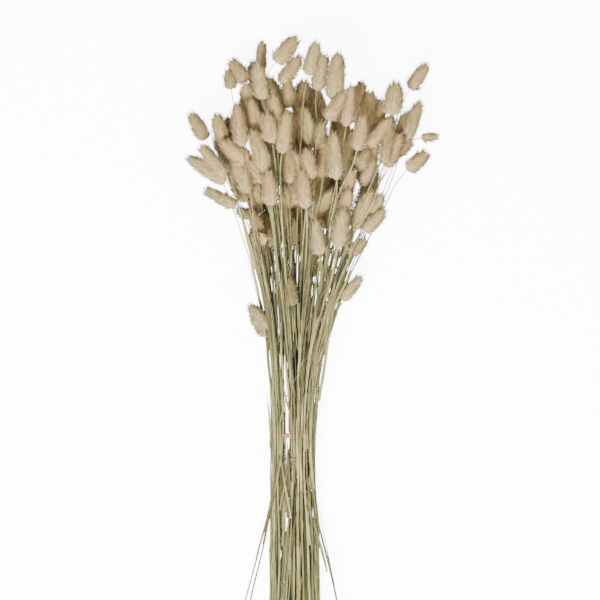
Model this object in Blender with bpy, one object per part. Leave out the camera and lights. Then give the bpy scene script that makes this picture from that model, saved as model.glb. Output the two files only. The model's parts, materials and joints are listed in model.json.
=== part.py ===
"""Dried bunny tail grass: a tied bunch of about a hundred cut stems, each with its seed head, lying down.

Made in millimetres and turned into metres at the very end. The bunch lies along Y with its heads to +Y
and rests at z = 0 on its lowest heads and on its cut ends.
"""

import math

import bmesh
import bpy
import numpy as np

# Driving dimensions, in millimetres
MM_PER_PX = 1.0
ORIGIN_PX = (314.01, 346.52)  # the picture's pixel that lies over the part's origin
TIE_PX = (293.5, 437.5)  # middle of the waist, where the bunch is tied
END_PX = 640.0  # row where most of the stems are cut
UNEVEN = 26.0  # spread of the cut ends' lengths

# Heights over the table, and depths, of the lying bunch
FAN_TURN = 0.38  # how far the outer heads lean aside, in x for each unit of y
FAN_HALF_DEPTH = 44.0  # half the thickness of the bunch at the heads
FAN_HEIGHT = 46.0  # height of the middle of the heads over the table
RISE_LENGTH = 240.0  # distance from the tie over which the middle climbs to that height
TIE_HEIGHT = 18.0  # height of the middle at the tie
END_HEIGHT = 12.0  # the same at the cut ends
LOOSE_HALF_DEPTH = 13.0  # half the thickness just above the tie
LOOSE_SLOPE = 0.17  # and how fast it grows towards the heads
SIDE_DROP = 6.0  # how far the outer heads hang down
SIDE_THINNING = 0.8  # the bunch thins to its sides, as a dome does
TIP_LIFT = 0.15  # how much a head leans away from the bunch's middle

# The waist: the stems inside the band, the slit between them, and the front row that lies over the band
TIE_HALF_WIDTH = 18.0
TIE_HALF_DEPTH = 9.5
SLOT_PITCH = 2.45
SLIT_PX = (284.6, 289.6)
SLIT_CLEAR = 1.0
FRONT_HALF_WIDTH = 22.2
FRONT_HALF_DEPTH = 14.0
FRONT_STEMS = 26
FRONT_START = -14.0  # degrees
FRONT_SWEEP = 208.0
COLUMNS = 12  # the stems are sorted into columns across the waist
TURN_SCATTER = 0.05  # and strays from that order

# The cut ends
END_LEFT = -24.5  # edges of the bundle there, from the tie's middle
END_RIGHT = 28.0
END_DEEPER = 1.25  # depth of the bundle there, as a share of its depth at the tie
END_MIXING = 5.0
END_SCATTER = 3.0
STRAY_HEIGHT = 21.0
# Stems that stray across the front of the lower bundle: places at the tie and at the cut end, row of the cut
STRAYS = ((-9.5, -52.0, 616.0), (-13.0, -45.0, 611.0), (15.5, 47.0, 622.0), (-2.0, 34.0, 575.0))

# Stems
STEM_SIDES = 3
STEM_RADIUS_END = 1.05  # stems taper from the cut end
STEM_RADIUS_TIE = 0.9
STEM_RADIUS_NECK = 0.55  # to the neck under the head
STEM_TAPER = (0.0, 0.0, 0.2, 0.45, 0.7, 0.88, 1.0)  # share of the way from the neck's radius to the tie's
NECK = 7.0  # straight length of stem under each head
SEAT_GAP = 0.3  # between a stem's end and the foot of its head
STEM_LEAD = 1.3  # how soon a stem turns from its head's direction to its own
NECK_PULL = 0.25  # length of the curve's handles, as shares of its span
TIE_PULL = 0.42
FAN_STEPS = (0.17, 0.38, 0.60, 0.81)  # places of the free knots between the neck and the tie
HUB_BELOW_TIE = 32.0  # where the stems are pressed together, hidden among them
HUB_THICKNESS = 3.0

# Rubber band
BAND_WIDTH = 4.0
BAND_THICKNESS = 1.2
BAND_GAP = 0.35
BAND_SIDES = 32

# Dried flag leaf
LEAF_BASE_PX = (336.0, 291.0)
LEAF_TIP_PX = (347.5, 255.0)
LEAF_HALF_WIDTHS = (1.2, 3.2, 3.8, 2.6, 0.5)
LEAF_THICKNESS = 0.8
LEAF_RISE = 4.0
LEAF_ARCH = 1.5
LEAF_FOLDS = ((-1.0, 0.35), (0.0, 0.0), (1.0, 0.55))  # places across the blade, and heights of the fold

# Heads
HEAD_SIDES = 6
HEAD_NODES = 58
FULLNESS = 1.14  # of the tufts over the dense part of a head, whose width is in the list below
RING_AT = (0.0, 0.08, 0.25, 0.45, 0.66, 0.85, 1.0)  # outline of a head: share of its length from the foot
RING_SIZE = (0.40, 0.85, 1.0, 1.0, 0.88, 0.62, 0.12)  # and share of its half width there
TUFT_SINK = 0.84  # radius of the hollows between the tufts
TUFT_LEAN = 0.05  # how far a tuft reaches to the tip, as a share of the length
HEAD_TURN = 2.4  # turn of each head about its own axis after the one before it
LAYER_DEPTH = (0.85, 0.22, -0.35, -0.75)  # height of each layer of heads, as a share of the half depth
LAYER_SCATTER = 0.16
REST_HEIGHT = 0.68  # height of the axis of a head pressed on the table, as a share of its half width

# Colours, those of the heads from front to back
DOWN_COLOURS = ((0.68, 0.57, 0.43), (0.60, 0.48, 0.34), (0.50, 0.39, 0.26), (0.42, 0.32, 0.20))
STRAW_COLOUR = (0.47, 0.43, 0.26)
RUBBER_COLOUR = (0.42, 0.16, 0.06)

# Heads at the back of the bunch, against the table, glimpsed as shadows between the others. Foot x, foot y,
# tip x, tip y in pixels
HIDDEN_HALF_WIDTH = 7.2
HIDDEN_PX = (
    (260, 265, 253, 227), (304, 250, 306, 212), (274, 239, 271, 201), (336, 208, 340, 171), (364, 205, 376, 168),
    (257, 205, 252, 168), (316, 192, 320, 154), (278, 179, 276, 141), (344, 172, 351, 134), (304, 155, 306, 117),
    (297, 148, 293, 110),
)

# Settling: heads and stems move apart in small steps until nothing crosses
SETTLE_STEPS = 520
LOOK_EVERY = 6
LOOK_OUT = 10.0
STEM_SAMPLES = 7  # points on each straight run of stem that are kept clear of the heads
HEAD_SAMPLES = 9  # points along each head, for the same
HEAD_SAMPLED = (0.04, 0.96)  # share of its length that they span
HEAD_CLEAR = 0.8  # gaps that the settling aims at
STEM_CLEAR = 0.7
PRESS_AIM = 4.0  # neighbours that nearly overlap by this are pressed together first
PRESS_ENDWAYS = 0.6  # weights of the distances endways and upwards in that choice
PRESS_UPWAYS = 0.45
GROUP_MOST = 3  # heads pressed together at most
LAYER_GIVES = (0.2, 0.8, 1.1, 1.1)  # how much a head of each layer gives way to the one it is pressed to
PRESS_DEEPEST = -5.2  # pressed heads overlap between these two
PRESS_LEAST = -4.4
SIDEWAYS = 0.3  # heads give way mostly up and down
LENGTHWAYS = 0.1
UP_AT_LEAST = 0.5
HEAD_GIVE = 0.13  # share of an overlap that is mended in one step
STEM_GIVE = 0.28
NECK_GIVE = 0.1
BACK_GIVE = 0.03
PRESS_GIVE = 0.25
PRESS_SIDEWAYS = 0.6
LARGEST_MOVE = 1.6
HOMING = 0.08  # pull to the place read in the picture, in the first half of the steps
UNBENDING = 0.98
SINKING = 0.15  # the hidden heads sink to the table
GOLDEN = 0.6180339887
DRIFT = 0.5698402910
LENGTHS = 0.7548776662
ROUND_TO = 7  # digits kept at each step, so that every run gives the same places

# Heads as read in the picture, in pixels: foot x, foot y, tip x, tip y, width, layer (0 front to 3 back)
HEADS_PX = (
    (248, 80, 231, 57, 15, 1), (229, 91, 227, 71, 13, 2), (261, 72, 262, 40, 11, 1),
    (264, 102, 258, 65, 15, 0), (259, 92, 252, 59, 13, 2), (276, 66, 298, 41, 17, 0),
    (283, 80, 300, 56, 12, 1), (308, 78, 317, 44, 15, 0), (318, 91, 325, 59, 13, 1),
    (333, 100, 338, 53, 18, 0), (325, 125, 344, 97, 15, 0), (347, 129, 353, 86, 12, 0),
    (356, 120, 362, 80, 13, 2), (367, 125, 371, 92, 15, 1), (391, 117, 395, 83, 19, 0),
    (410, 89, 428, 63, 14, 1), (403, 140, 422, 98, 14, 1), (420, 138, 440, 136, 9.5, 1),
    (397, 161, 413, 148, 9, 2), (407, 171, 428, 152, 15, 0), (378, 141, 386, 122, 12, 1),
    (356, 152, 363, 117, 15, 0), (355, 169, 367, 148, 17, 1), (360, 182, 371, 156, 13, 1),
    (336, 181, 333, 132, 14.5, 0), (311, 175, 308, 144, 14, 0), (307, 176, 294, 151, 11, 1),
    (322, 171, 324, 140, 13, 1), (313, 142, 302, 107, 13, 1), (317, 151, 323, 122, 12, 1),
    (311, 124, 303, 88, 14, 2), (319, 121, 314, 85, 15, 3), (300, 115, 304, 79, 15, 2),
    (287, 111, 288, 82, 15, 1), (285, 156, 291, 112, 14.5, 0), (276, 133, 274, 99, 13, 0.5),
    (270, 144, 265, 114, 16, 0), (266, 152, 261, 119, 12, 1), (281, 110, 272, 75, 15, 2),
    (250, 120, 246, 86, 13, 1), (243, 148, 237, 103, 14, 0.5), (234, 148, 231, 113, 13, 2),
    (223, 140, 217, 115, 13, 1), (206, 140, 190, 112, 15, 1), (226, 178, 200, 145, 14, 0),
    (224, 181, 188, 158, 12.5, 1), (237, 207, 203, 189, 13, 0.5), (235, 170, 215, 141, 14, 1.5),
    (246, 190, 229, 147, 16, 1), (243, 197, 227, 163, 15, 2), (247, 160, 222, 142, 13, 1),
    (266, 180, 244, 153, 13, 1), (266, 170, 254, 131, 15, 0.5), (266, 197, 252, 164, 13, 2),
    (272, 207, 269, 171, 14, 0), (259, 200, 248, 166, 14, 2), (305, 216, 301, 176, 15, 0),
    (288, 182, 288, 150, 13, 1), (290, 196, 293, 158, 15, 2), (285, 223, 283, 188, 14, 2),
    (294, 229, 296, 192, 15, 3), (259, 224, 251, 202, 13, 1), (251, 214, 237, 210, 10, 2),
    (268, 242, 263, 208, 13, 2), (268, 248, 248, 247, 14, 1), (268, 263, 264, 236, 12, 2),
    (292, 256, 295, 226, 14, 2), (320, 255, 315, 219, 14, 0), (338, 244, 343, 212, 17, 0),
    (313, 218, 332, 192, 13, 1), (325, 224, 331, 190, 14, 2), (343, 216, 349, 188, 14, 1),
    (346, 196, 353, 167, 13, 1), (371, 213, 384, 192, 13, 1), (364, 232, 385, 210, 14, 0),
    (350, 254, 366, 238, 13, 1), (342, 300, 363, 275, 12, 1), (354, 226, 369, 193, 14, 1.5),
    (369, 178, 377, 145, 11, 1), (386, 158, 393, 120, 12, 1), (387, 167, 402, 132, 14, 1),
    (399, 142, 407, 108, 14, 2), (328, 212, 325, 176, 16, 3), (263, 129, 259, 92, 14, 2),
    (257, 136, 251, 102, 14, 1), (269, 327, 248, 304, 14, 1), (266, 335, 252, 315, 12, 2),
    (294, 306, 291, 277, 12, 2), (313, 277, 312, 248, 12, 2), (338, 144, 341, 106, 16, 3),
    (376, 137, 379, 101, 14, 2),
)


def length(v):
    return np.sqrt(v[..., 0] ** 2 + v[..., 1] ** 2 + v[..., 2] ** 2)


def dot(a, b):
    return a[..., 0] * b[..., 0] + a[..., 1] * b[..., 1] + a[..., 2] * b[..., 2]


def middle_height(reach):
    """Height of the bunch's middle line, by distance from the tie towards the heads."""
    s = np.clip(reach / RISE_LENGTH, 0.0, 1.0)
    return TIE_HEIGHT + (FAN_HEIGHT - TIE_HEIGHT) * s * s * (3.0 - 2.0 * s)


def half_depth(reach):
    return np.minimum(FAN_HALF_DEPTH, LOOSE_HALF_DEPTH + LOOSE_SLOPE * reach)


def scatter(count, step):
    """Evenly spread values from -0.5 to 0.5 in a mixed order."""
    return ((np.arange(count) * step) % 1.0) - 0.5


def at_pixel(x, y, height=0.0):
    """The point that the picture shows at a pixel, at a height over the table."""
    return np.array([(x - ORIGIN_PX[0]) * MM_PER_PX, (ORIGIN_PX[1] - y) * MM_PER_PX, height])


def tie_point():
    """Middle of the waist."""
    return at_pixel(*TIE_PX, TIE_HEIGHT)


def head_layers():
    """Layer of each head, from 0 at the front to 3 at the back."""
    return np.array([row[5] for row in HEADS_PX] + [3.0] * len(HIDDEN_PX))


def place_heads():
    """Foot, tip and half width of each head: those of the picture, then the hidden ones."""
    rows = np.array([row[:4] for row in HEADS_PX] + list(HIDDEN_PX), float)
    seen = len(HEADS_PX)
    foot = np.array([at_pixel(*row[0:2]) for row in rows])
    tip = np.array([at_pixel(*row[2:4]) for row in rows])
    half = np.full(len(rows), HIDDEN_HALF_WIDTH)
    half[:seen] = [row[4] * MM_PER_PX / 2 * FULLNESS for row in HEADS_PX]
    tie = tie_point()
    share = np.interp(head_layers(), range(4), LAYER_DEPTH)
    share += LAYER_SCATTER * scatter(len(share), GOLDEN)
    share[seen:] = -1.0
    reach = foot[:, 1] - tie[1]
    aside = np.clip((foot[:, 0] - tie[0]) / reach / FAN_TURN, -1.0, 1.0)
    share *= np.sqrt(1.0 - SIDE_THINNING * aside * aside)
    foot[:, 2] = middle_height(reach) - SIDE_DROP * aside * aside + share * half_depth(reach)
    spread = np.sqrt((tip[:, 0] - foot[:, 0]) ** 2 + (tip[:, 1] - foot[:, 1]) ** 2)
    tip[:, 2] = foot[:, 2] + share * spread * TIP_LIFT
    foot[:, 2] = np.maximum(foot[:, 2], half * REST_HEIGHT)
    tip[:, 2] = np.maximum(tip[:, 2], half * REST_HEIGHT)
    return foot, tip, half


def closeness(points, radius, heads, foot, tip, half):
    """Gap from each point to the head named with it, the way out of that head, and the place along it."""
    along = tip[heads] - foot[heads]
    reach = points - foot[heads]
    t = np.clip(dot(reach, along) / dot(along, along), 0.0, 1.0)
    away = reach - along * t[:, None]
    far = np.maximum(length(away), 1e-6)
    gap = far - np.interp(t, RING_AT, RING_SIZE) * half[heads] - radius
    return gap, away / far[:, None], t


def neighbours(points, owner, foot, tip, half):
    """Pairs of a point and a head other than its own that lie near each other."""
    reach = length(tip - foot) / 2 + half + LOOK_OUT
    near = length(points[:, None] - ((foot + tip) / 2)[None]) < reach[None]
    near[np.arange(len(owner)), owner] = False
    return np.nonzero(near)


def gather(index, values, count):
    """Sum of the vectors that share an index."""
    return np.stack([np.bincount(index, values[:, axis], count) for axis in range(3)], axis=1)


def press_together(foot, tip, half, wanted):
    """Links between neighbouring heads that press together, the closest first, and each head's group."""
    middle = (foot + tip) / 2
    apart = middle[:, None] - middle[None]
    flat = np.sqrt(apart[..., 0] ** 2 + (apart[..., 1] * PRESS_ENDWAYS) ** 2)
    flat = np.abs(flat - half[:, None] - half[None] + PRESS_AIM)
    costs = np.round(flat + PRESS_UPWAYS * np.abs(apart[..., 2]), 4)
    group = np.arange(len(foot))
    links = []
    for _, i, k in sorted((costs[i, k], i, k) for i in range(len(foot)) for k in range(i + 1, len(foot))):
        joined = (group == group[i]) | (group == group[k])
        if group[i] != group[k] and joined.sum() <= GROUP_MOST and len(links) < wanted:
            group[joined] = min(group[i], group[k])
            links.append((i, k))
    return np.array(links), group


def tie_slots(count):
    """Places of the stems in the waist: most inside the band, a front row over it."""
    slit = [(x - TIE_PX[0]) * MM_PER_PX for x in SLIT_PX]
    front = []
    for k in range(FRONT_STEMS):
        turn = math.radians(FRONT_START + FRONT_SWEEP * k / (FRONT_STEMS - 1))
        x = FRONT_HALF_WIDTH * math.cos(turn)
        if not slit[0] - SLIT_CLEAR < x < slit[1] + SLIT_CLEAR:
            front.append((x, FRONT_HALF_DEPTH * math.sin(turn)))
    inside = []
    row_pitch = SLOT_PITCH * math.sin(math.radians(60))
    rows = math.ceil(TIE_HALF_DEPTH / row_pitch)
    columns = math.ceil(TIE_HALF_WIDTH / SLOT_PITCH)
    for row in range(-rows, rows + 1):
        for column in range(-columns - 1, columns + 1):
            x = (column + 0.5 * (row % 2)) * SLOT_PITCH
            z = row * row_pitch
            share = (x / TIE_HALF_WIDTH) ** 2 + (z / TIE_HALF_DEPTH) ** 2
            if share <= 1.0 and not slit[0] - SLIT_CLEAR < x < slit[1] + SLIT_CLEAR:
                inside.append((share, x, z))
    inside = sorted(inside)[: count - len(front)]
    return np.array(front + [(x, z) for _, x, z in inside])


def deal_slots(foot, slots):
    """Give each head the slot in the waist that lies on its own side of the bunch."""
    tie = tie_point()
    reach = foot[:, 1] - tie[1]
    turn = (foot[:, 0] - tie[0]) / reach + TURN_SCATTER * scatter(len(foot), GOLDEN)
    level = (foot[:, 2] - middle_height(reach)) / half_depth(reach)
    by_turn = np.array_split(np.argsort(turn, kind="stable"), COLUMNS)
    by_side = np.array_split(np.argsort(slots[:, 0], kind="stable"), COLUMNS)
    dealt = np.zeros((len(foot), 2))
    for heads, places in zip(by_turn, by_side):
        heads = heads[np.argsort(level[heads], kind="stable")]
        places = places[np.argsort(slots[places, 1], kind="stable")]
        dealt[heads] = slots[places]
    return dealt


def fan_route(foot, tip, dealt):
    """Knots of each stem from its head's foot to the tie, on a smooth curve."""
    tie = tie_point()
    axis = (tip - foot) / length(tip - foot)[:, None]
    neck = foot - axis * NECK
    end = np.zeros_like(foot)
    end[:, 0] = tie[0] + dealt[:, 0]
    end[:, 1] = tie[1]
    end[:, 2] = tie[2] + dealt[:, 1]
    span = neck - end
    reach = length(span)
    lead = axis + STEM_LEAD * span / reach[:, None]
    lead /= length(lead)[:, None]
    first = neck - lead * (NECK_PULL * reach)[:, None]
    second = end.copy()
    second[:, 1] += TIE_PULL * reach
    knots = [foot - axis * SEAT_GAP, neck]
    for t in FAN_STEPS:
        u = 1.0 - t
        knots.append(u**3 * neck + 3 * u * u * t * first + 3 * u * t * t * second + t**3 * end)
    knots.append(end)
    return np.stack(knots, axis=1)


def shifted_route(foot, tip, dealt, shift):
    """The stems' knots with their free ones moved aside, and none of them in the table."""
    knots = fan_route(foot, tip, dealt)
    knots[:, 2:-1] += shift
    knots[:, 2:-1, 2] = np.maximum(knots[:, 2:-1, 2], STEM_RADIUS_TIE)
    return knots


def stem_points(knots):
    """Points along the runs between a stem's knots, for all the stems."""
    share = (np.arange(STEM_SAMPLES) + 0.5) / STEM_SAMPLES
    first = knots[:, :-1, None]
    return (first + (knots[:, 1:, None] - first) * share[None, None, :, None]).reshape(-1, 3)


def settle(foot, tip, half, links, group, dealt):
    """Push heads and stems clear of each other, mostly up and down, until nothing crosses."""
    count = len(foot)
    runs = len(FAN_STEPS) + 2
    at = np.tile(np.linspace(*HEAD_SAMPLED, HEAD_SAMPLES), count)
    whose = np.repeat(np.arange(count), HEAD_SAMPLES)
    thick = half[whose] * np.interp(at, RING_AT, RING_SIZE)
    stem = np.repeat(np.arange(count), runs * STEM_SAMPLES)
    knot = stem * (runs + 1) + np.tile(np.repeat(np.arange(runs), STEM_SAMPLES), count)
    share = np.tile((np.arange(STEM_SAMPLES) + 0.5) / STEM_SAMPLES, count * runs)
    gives = np.interp(head_layers(), range(4), LAYER_GIVES)
    gives = 2.0 * gives[links] / gives[links].sum(axis=1)[:, None]
    link_of = np.full((count, count), -1)
    link_of[links[:, 0], links[:, 1]] = link_of[links[:, 1], links[:, 0]] = np.arange(len(links))
    start = foot.copy(), tip.copy()
    shift = np.zeros((count, len(FAN_STEPS), 3))
    for step in range(SETTLE_STEPS):
        easing = step < SETTLE_STEPS / 2
        knots = shifted_route(foot, tip, dealt, shift)
        spots = foot[whose] + (tip - foot)[whose] * at[:, None]
        points = stem_points(knots)
        if step % LOOK_EVERY == 0:
            spot, other = neighbours(spots, whose, foot, tip, half)
            point, head = neighbours(points, stem, foot, tip, half)

        # heads against heads
        mine = whose[spot]
        gap, out, t = closeness(spots[spot], thick[spot], other, foot, tip, half)
        pressed = group[mine] == group[other]
        push = np.where(pressed, np.clip(PRESS_DEEPEST - gap, 0.0, 2.0), np.clip(HEAD_CLEAR - gap, 0.0, 4.0))
        rise = np.where(out[:, 2] >= 0.0, 1.0, -1.0) * np.maximum(np.abs(out[:, 2]), UP_AT_LEAST)
        way = np.stack([out[:, 0] * SIDEWAYS, out[:, 1] * LENGTHWAYS, rise], axis=1)
        push = way * (push * HEAD_GIVE)[:, None]
        foot_move = gather(mine, push * (1.0 - at[spot])[:, None], count)
        tip_move = gather(mine, push * at[spot][:, None], count)
        foot_move -= gather(other, push * (1.0 - t)[:, None], count)
        tip_move -= gather(other, push * t[:, None], count)

        # linked heads draw together until they hold
        link = link_of[mine, other]
        nearest = np.full(len(links), LOOK_OUT)
        np.minimum.at(nearest, link[link >= 0], gap[link >= 0])
        apart = (foot + tip)[links[:, 1]] - (foot + tip)[links[:, 0]]
        pull = PRESS_GIVE * np.clip(nearest - PRESS_LEAST, 0.0, 2.0)
        apart = apart / np.maximum(length(apart), 1e-6)[:, None] * pull[:, None]
        apart[:, :2] *= PRESS_SIDEWAYS
        apart = gather(links[:, 0], apart * gives[:, :1], count) - gather(
            links[:, 1], apart * gives[:, 1:], count
        )
        foot_move += apart
        tip_move += apart

        # stems against heads
        gap, out, t = closeness(points[point], STEM_RADIUS_TIE, head, foot, tip, half)
        push = out * np.clip(STEM_CLEAR - gap, 0.0, 3.0)[:, None]
        push[:, 1] = 0.0
        foot_move -= gather(head, push * (BACK_GIVE * (1.0 - t))[:, None], count)
        tip_move -= gather(head, push * (BACK_GIVE * t)[:, None], count)
        size = count * (runs + 1)
        nudge = gather(knot[point], push * (1.0 - share[point])[:, None], size)
        nudge += gather(knot[point] + 1, push * share[point][:, None], size)
        nudge = nudge.reshape(count, runs + 1, 3)
        shift += np.clip(nudge[:, 2:-1] * STEM_GIVE, -LARGEST_MOVE, LARGEST_MOVE)
        foot_move += (nudge[:, 0] + nudge[:, 1]) * NECK_GIVE

        foot += np.clip(foot_move, -LARGEST_MOVE, LARGEST_MOVE)
        tip += np.clip(tip_move, -LARGEST_MOVE, LARGEST_MOVE)
        if easing:
            shift *= UNBENDING
            foot[:, :2] += (start[0][:, :2] - foot[:, :2]) * HOMING
            tip[:, :2] += (start[1][:, :2] - tip[:, :2]) * HOMING
        foot[-len(HIDDEN_PX):, 2] -= SINKING
        tip[-len(HIDDEN_PX):, 2] -= SINKING
        foot[:, 2] = np.maximum(foot[:, 2], half * REST_HEIGHT)
        tip[:, 2] = np.maximum(tip[:, 2], half * REST_HEIGHT)
        foot[:] = np.round(foot, ROUND_TO)
        tip[:] = np.round(tip, ROUND_TO)
        shift[:] = np.round(shift, ROUND_TO)
    return shifted_route(foot, tip, dealt, shift)


def cut_ends(dealt):
    """The cut end of each stem, spread a little wider than at the tie."""
    tie = tie_point()
    count = len(dealt)
    end = np.zeros((count, 3))
    mixed = dealt[:, 0] + END_MIXING * scatter(count, GOLDEN)
    order = np.argsort(np.argsort(mixed, kind="stable"), kind="stable")
    end[:, 0] = tie[0] + END_LEFT + (END_RIGHT - END_LEFT) * order / (count - 1.0)
    end[:, 1] = (ORIGIN_PX[1] - END_PX) * MM_PER_PX + UNEVEN * scatter(count, LENGTHS)
    end[:, 2] = END_HEIGHT + dealt[:, 1] * END_DEEPER + END_SCATTER * scatter(count, DRIFT)
    for at_tie, at_end, row in STRAYS:
        k = int(np.argmin(np.abs(dealt[:, 0] - at_tie) - 0.5 * dealt[:, 1]))
        end[k] = tie[0] + at_end, (ORIGIN_PX[1] - row) * MM_PER_PX, STRAY_HEIGHT
    end[:, 2] = np.maximum(end[:, 2], STEM_RADIUS_END * 0.5)
    return end


def lay_out():
    """The whole bunch: heads' feet, tips and half widths, the pressed groups, and the stems' knots."""
    foot, tip, half = place_heads()
    links, group = press_together(foot, tip, half, len(foot) - HEAD_NODES)
    dealt = deal_slots(foot, tie_slots(len(foot)))
    knots = settle(foot, tip, half, links, group, dealt)
    knots = np.concatenate([knots, cut_ends(dealt)[:, None]], axis=1)
    groups = [[int(i) for i in np.nonzero(group == first)[0]] for first in sorted(set(group.tolist()))]
    return foot, tip, half, groups, knots


def node_name(members):
    """The node that holds a single head or a pressed group."""
    return ("head_" if len(members) == 1 else "heads_") + "_".join(f"{i:02d}" for i in members)


def frame_at(direction, turned=0.0):
    """Two unit vectors square to a direction: one level, one on its upper side."""
    side = np.cross(direction, (0.0, 0.0, 1.0))
    side /= math.sqrt(side @ side)
    up = np.cross(side, direction)
    up /= math.sqrt(up @ up)
    c, s = math.cos(turned), math.sin(turned)
    return side * c + up * s, up * c - side * s


def make_object(name, points, faces, collection=None):
    """A mesh object in metres from points in millimetres, with its faces turned outwards."""
    mesh = bpy.data.meshes.new(name)
    mesh.from_pydata([tuple(c / 1000.0 for c in p) for p in points], [], faces)
    work = bmesh.new()
    work.from_mesh(mesh)
    bmesh.ops.triangulate(work, faces=work.faces)
    bmesh.ops.recalc_face_normals(work, faces=work.faces)
    work.to_mesh(mesh)
    work.free()
    made = bpy.data.objects.new(name, mesh)
    (collection or bpy.context.scene.collection).objects.link(made)
    return made


def tube_faces(rings, sides, tip=False):
    """Faces round rings of points, closed by a flat end at the start and by a flat end or a tip."""
    faces = []
    for r in range(rings - 1):
        for k in range(sides):
            a = r * sides + k
            b = r * sides + (k + 1) % sides
            faces.append((a, b, b + sides, a + sides))
    last = (rings - 1) * sides
    if tip:
        for k in range(sides):
            faces.append((last + k, last + (k + 1) % sides, last + sides))
    else:
        faces.append(tuple(last + k for k in range(sides)))
    faces.append(tuple(reversed(range(sides))))
    return faces


def make_head(name, foot, tip, half, turned, collection=None):
    """An egg-shaped head covered in raised tufts that lean to its tip, on a small flat foot."""
    along = tip - foot
    side, up = frame_at(along / math.sqrt(along @ along), turned)
    points = []
    for ring in range(len(RING_AT) - 1):
        for k in range(HEAD_SIDES):
            turn = 2.0 * math.pi * k / HEAD_SIDES
            at = RING_AT[ring]
            size = RING_SIZE[ring]
            if ring and (ring + k) % 2 == 0:
                at += TUFT_LEAN
                size = float(np.interp(at, RING_AT, RING_SIZE))
            elif ring:
                size *= TUFT_SINK
            spoke = side * math.cos(turn) + up * math.sin(turn)
            points.append(foot + along * at + spoke * (size * half))
    points.append(tip)
    points = [(p[0], p[1], max(p[2], 0.0)) for p in points]
    return make_object(name, points, tube_faces(len(RING_AT) - 1, HEAD_SIDES, tip=True), collection)


def stem_radii():
    """Radius of a stem at each of its knots, from the head to the cut end."""
    slimmer = STEM_RADIUS_TIE - STEM_RADIUS_NECK
    return [STEM_RADIUS_NECK + slimmer * share for share in STEM_TAPER] + [STEM_RADIUS_END]


def make_stem(name, knots, collection):
    """A slim three-sided stem through its knots, flat side down."""
    points = []
    last = len(knots) - 1
    for j, radius in enumerate(stem_radii()):
        ahead = knots[min(j + 1, last)] - knots[max(j - 1, 0)] if j else knots[1] - knots[0]
        side, up = frame_at(ahead / math.sqrt(ahead @ ahead))
        for k in range(STEM_SIDES):
            turn = math.pi / 2 + 2.0 * math.pi * k / STEM_SIDES
            p = knots[j] + side * (radius * math.cos(turn)) + up * (radius * math.sin(turn))
            points.append((p[0], p[1], max(p[2], 0.0)))
    return make_object(name, points, tube_faces(len(knots), STEM_SIDES), collection)


def make_hub(knots):
    """The web where the stems are pressed together, out to the middle of the outer stems."""
    y = tie_point()[1] - HUB_BELOW_TIE
    tie = knots[:, -2]
    end = knots[:, -1]
    share = (tie[:, 1] - y) / (tie[:, 1] - end[:, 1])
    at = tie + (end - tie) * share[:, None]
    points = []
    for level in (y - HUB_THICKNESS / 2, y + HUB_THICKNESS / 2):
        points += [(p[0], level, p[2]) for p in at]
    made = make_object("stems", points, [])
    work = bmesh.new()
    work.from_mesh(made.data)
    found = bmesh.ops.convex_hull(work, input=work.verts)
    loose = [v for v in found["geom_interior"] if isinstance(v, bmesh.types.BMVert)]
    bmesh.ops.delete(work, geom=loose, context="VERTS")
    flat = math.radians(1.0)
    bmesh.ops.dissolve_limit(work, angle_limit=flat, verts=work.verts, edges=work.edges)
    work.to_mesh(made.data)
    work.free()
    return made


def make_leaf(knots, collection):
    """The dried flag leaf, folded along its rib, growing from the top stem at its base."""
    base = at_pixel(*LEAF_BASE_PX)
    tip = at_pixel(*LEAF_TIP_PX)
    crossings = []
    for route in knots:
        fan = route[-2:0:-1]
        x = float(np.interp(base[1], fan[:, 1], fan[:, 0]))
        z = float(np.interp(base[1], fan[:, 1], fan[:, 2]))
        crossings.append((2.0 * abs(x - base[0]) - z, x, z))
    _, base[0], base[2] = min(crossings)
    tip[2] = base[2] + LEAF_RISE
    along = tip - base
    side, up = frame_at(along / math.sqrt(along @ along))
    points = []
    steps = len(LEAF_HALF_WIDTHS)
    for j, wide in enumerate(LEAF_HALF_WIDTHS):
        s = j / (steps - 1)
        middle = base + along * s + up * (LEAF_ARCH * math.sin(math.pi * s))
        for lift in (-0.5 * LEAF_THICKNESS, 0.5 * LEAF_THICKNESS):
            for across, fold in LEAF_FOLDS:
                points.append(middle + side * (across * wide) + up * (fold * wide + lift))
    faces = []
    for j in range(steps - 1):
        a = j * 6
        for loop in ((0, 1), (1, 2), (2, 5), (5, 4), (4, 3), (3, 0)):
            faces.append((a + loop[0], a + loop[1], a + loop[1] + 6, a + loop[0] + 6))
    last = (steps - 1) * 6
    for start in (0, last):
        faces.append((start, start + 1, start + 4, start + 3))
        faces.append((start + 1, start + 2, start + 5, start + 4))
    return make_object("leaf", points, faces, collection)


def make_band():
    """The rubber band: a flat loop round the stems that it holds, under the front row."""
    tie = tie_point()
    points = []
    for y in (-BAND_WIDTH / 2, BAND_WIDTH / 2):
        for out in (BAND_GAP, BAND_GAP + BAND_THICKNESS):
            for k in range(BAND_SIDES):
                turn = 2.0 * math.pi * k / BAND_SIDES
                x = (TIE_HALF_WIDTH + STEM_RADIUS_TIE + out) * math.cos(turn)
                z = (TIE_HALF_DEPTH + STEM_RADIUS_TIE + out) * math.sin(turn)
                points.append((tie[0] + x, tie[1] + y, tie[2] + z))
    faces = []
    n = BAND_SIDES
    for k in range(n):
        m = (k + 1) % n
        for a, b in ((0, n), (n, 3 * n), (3 * n, 2 * n), (2 * n, 0)):
            faces.append((a + k, a + m, b + m, b + k))
    return make_object("band", points, faces)


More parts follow.
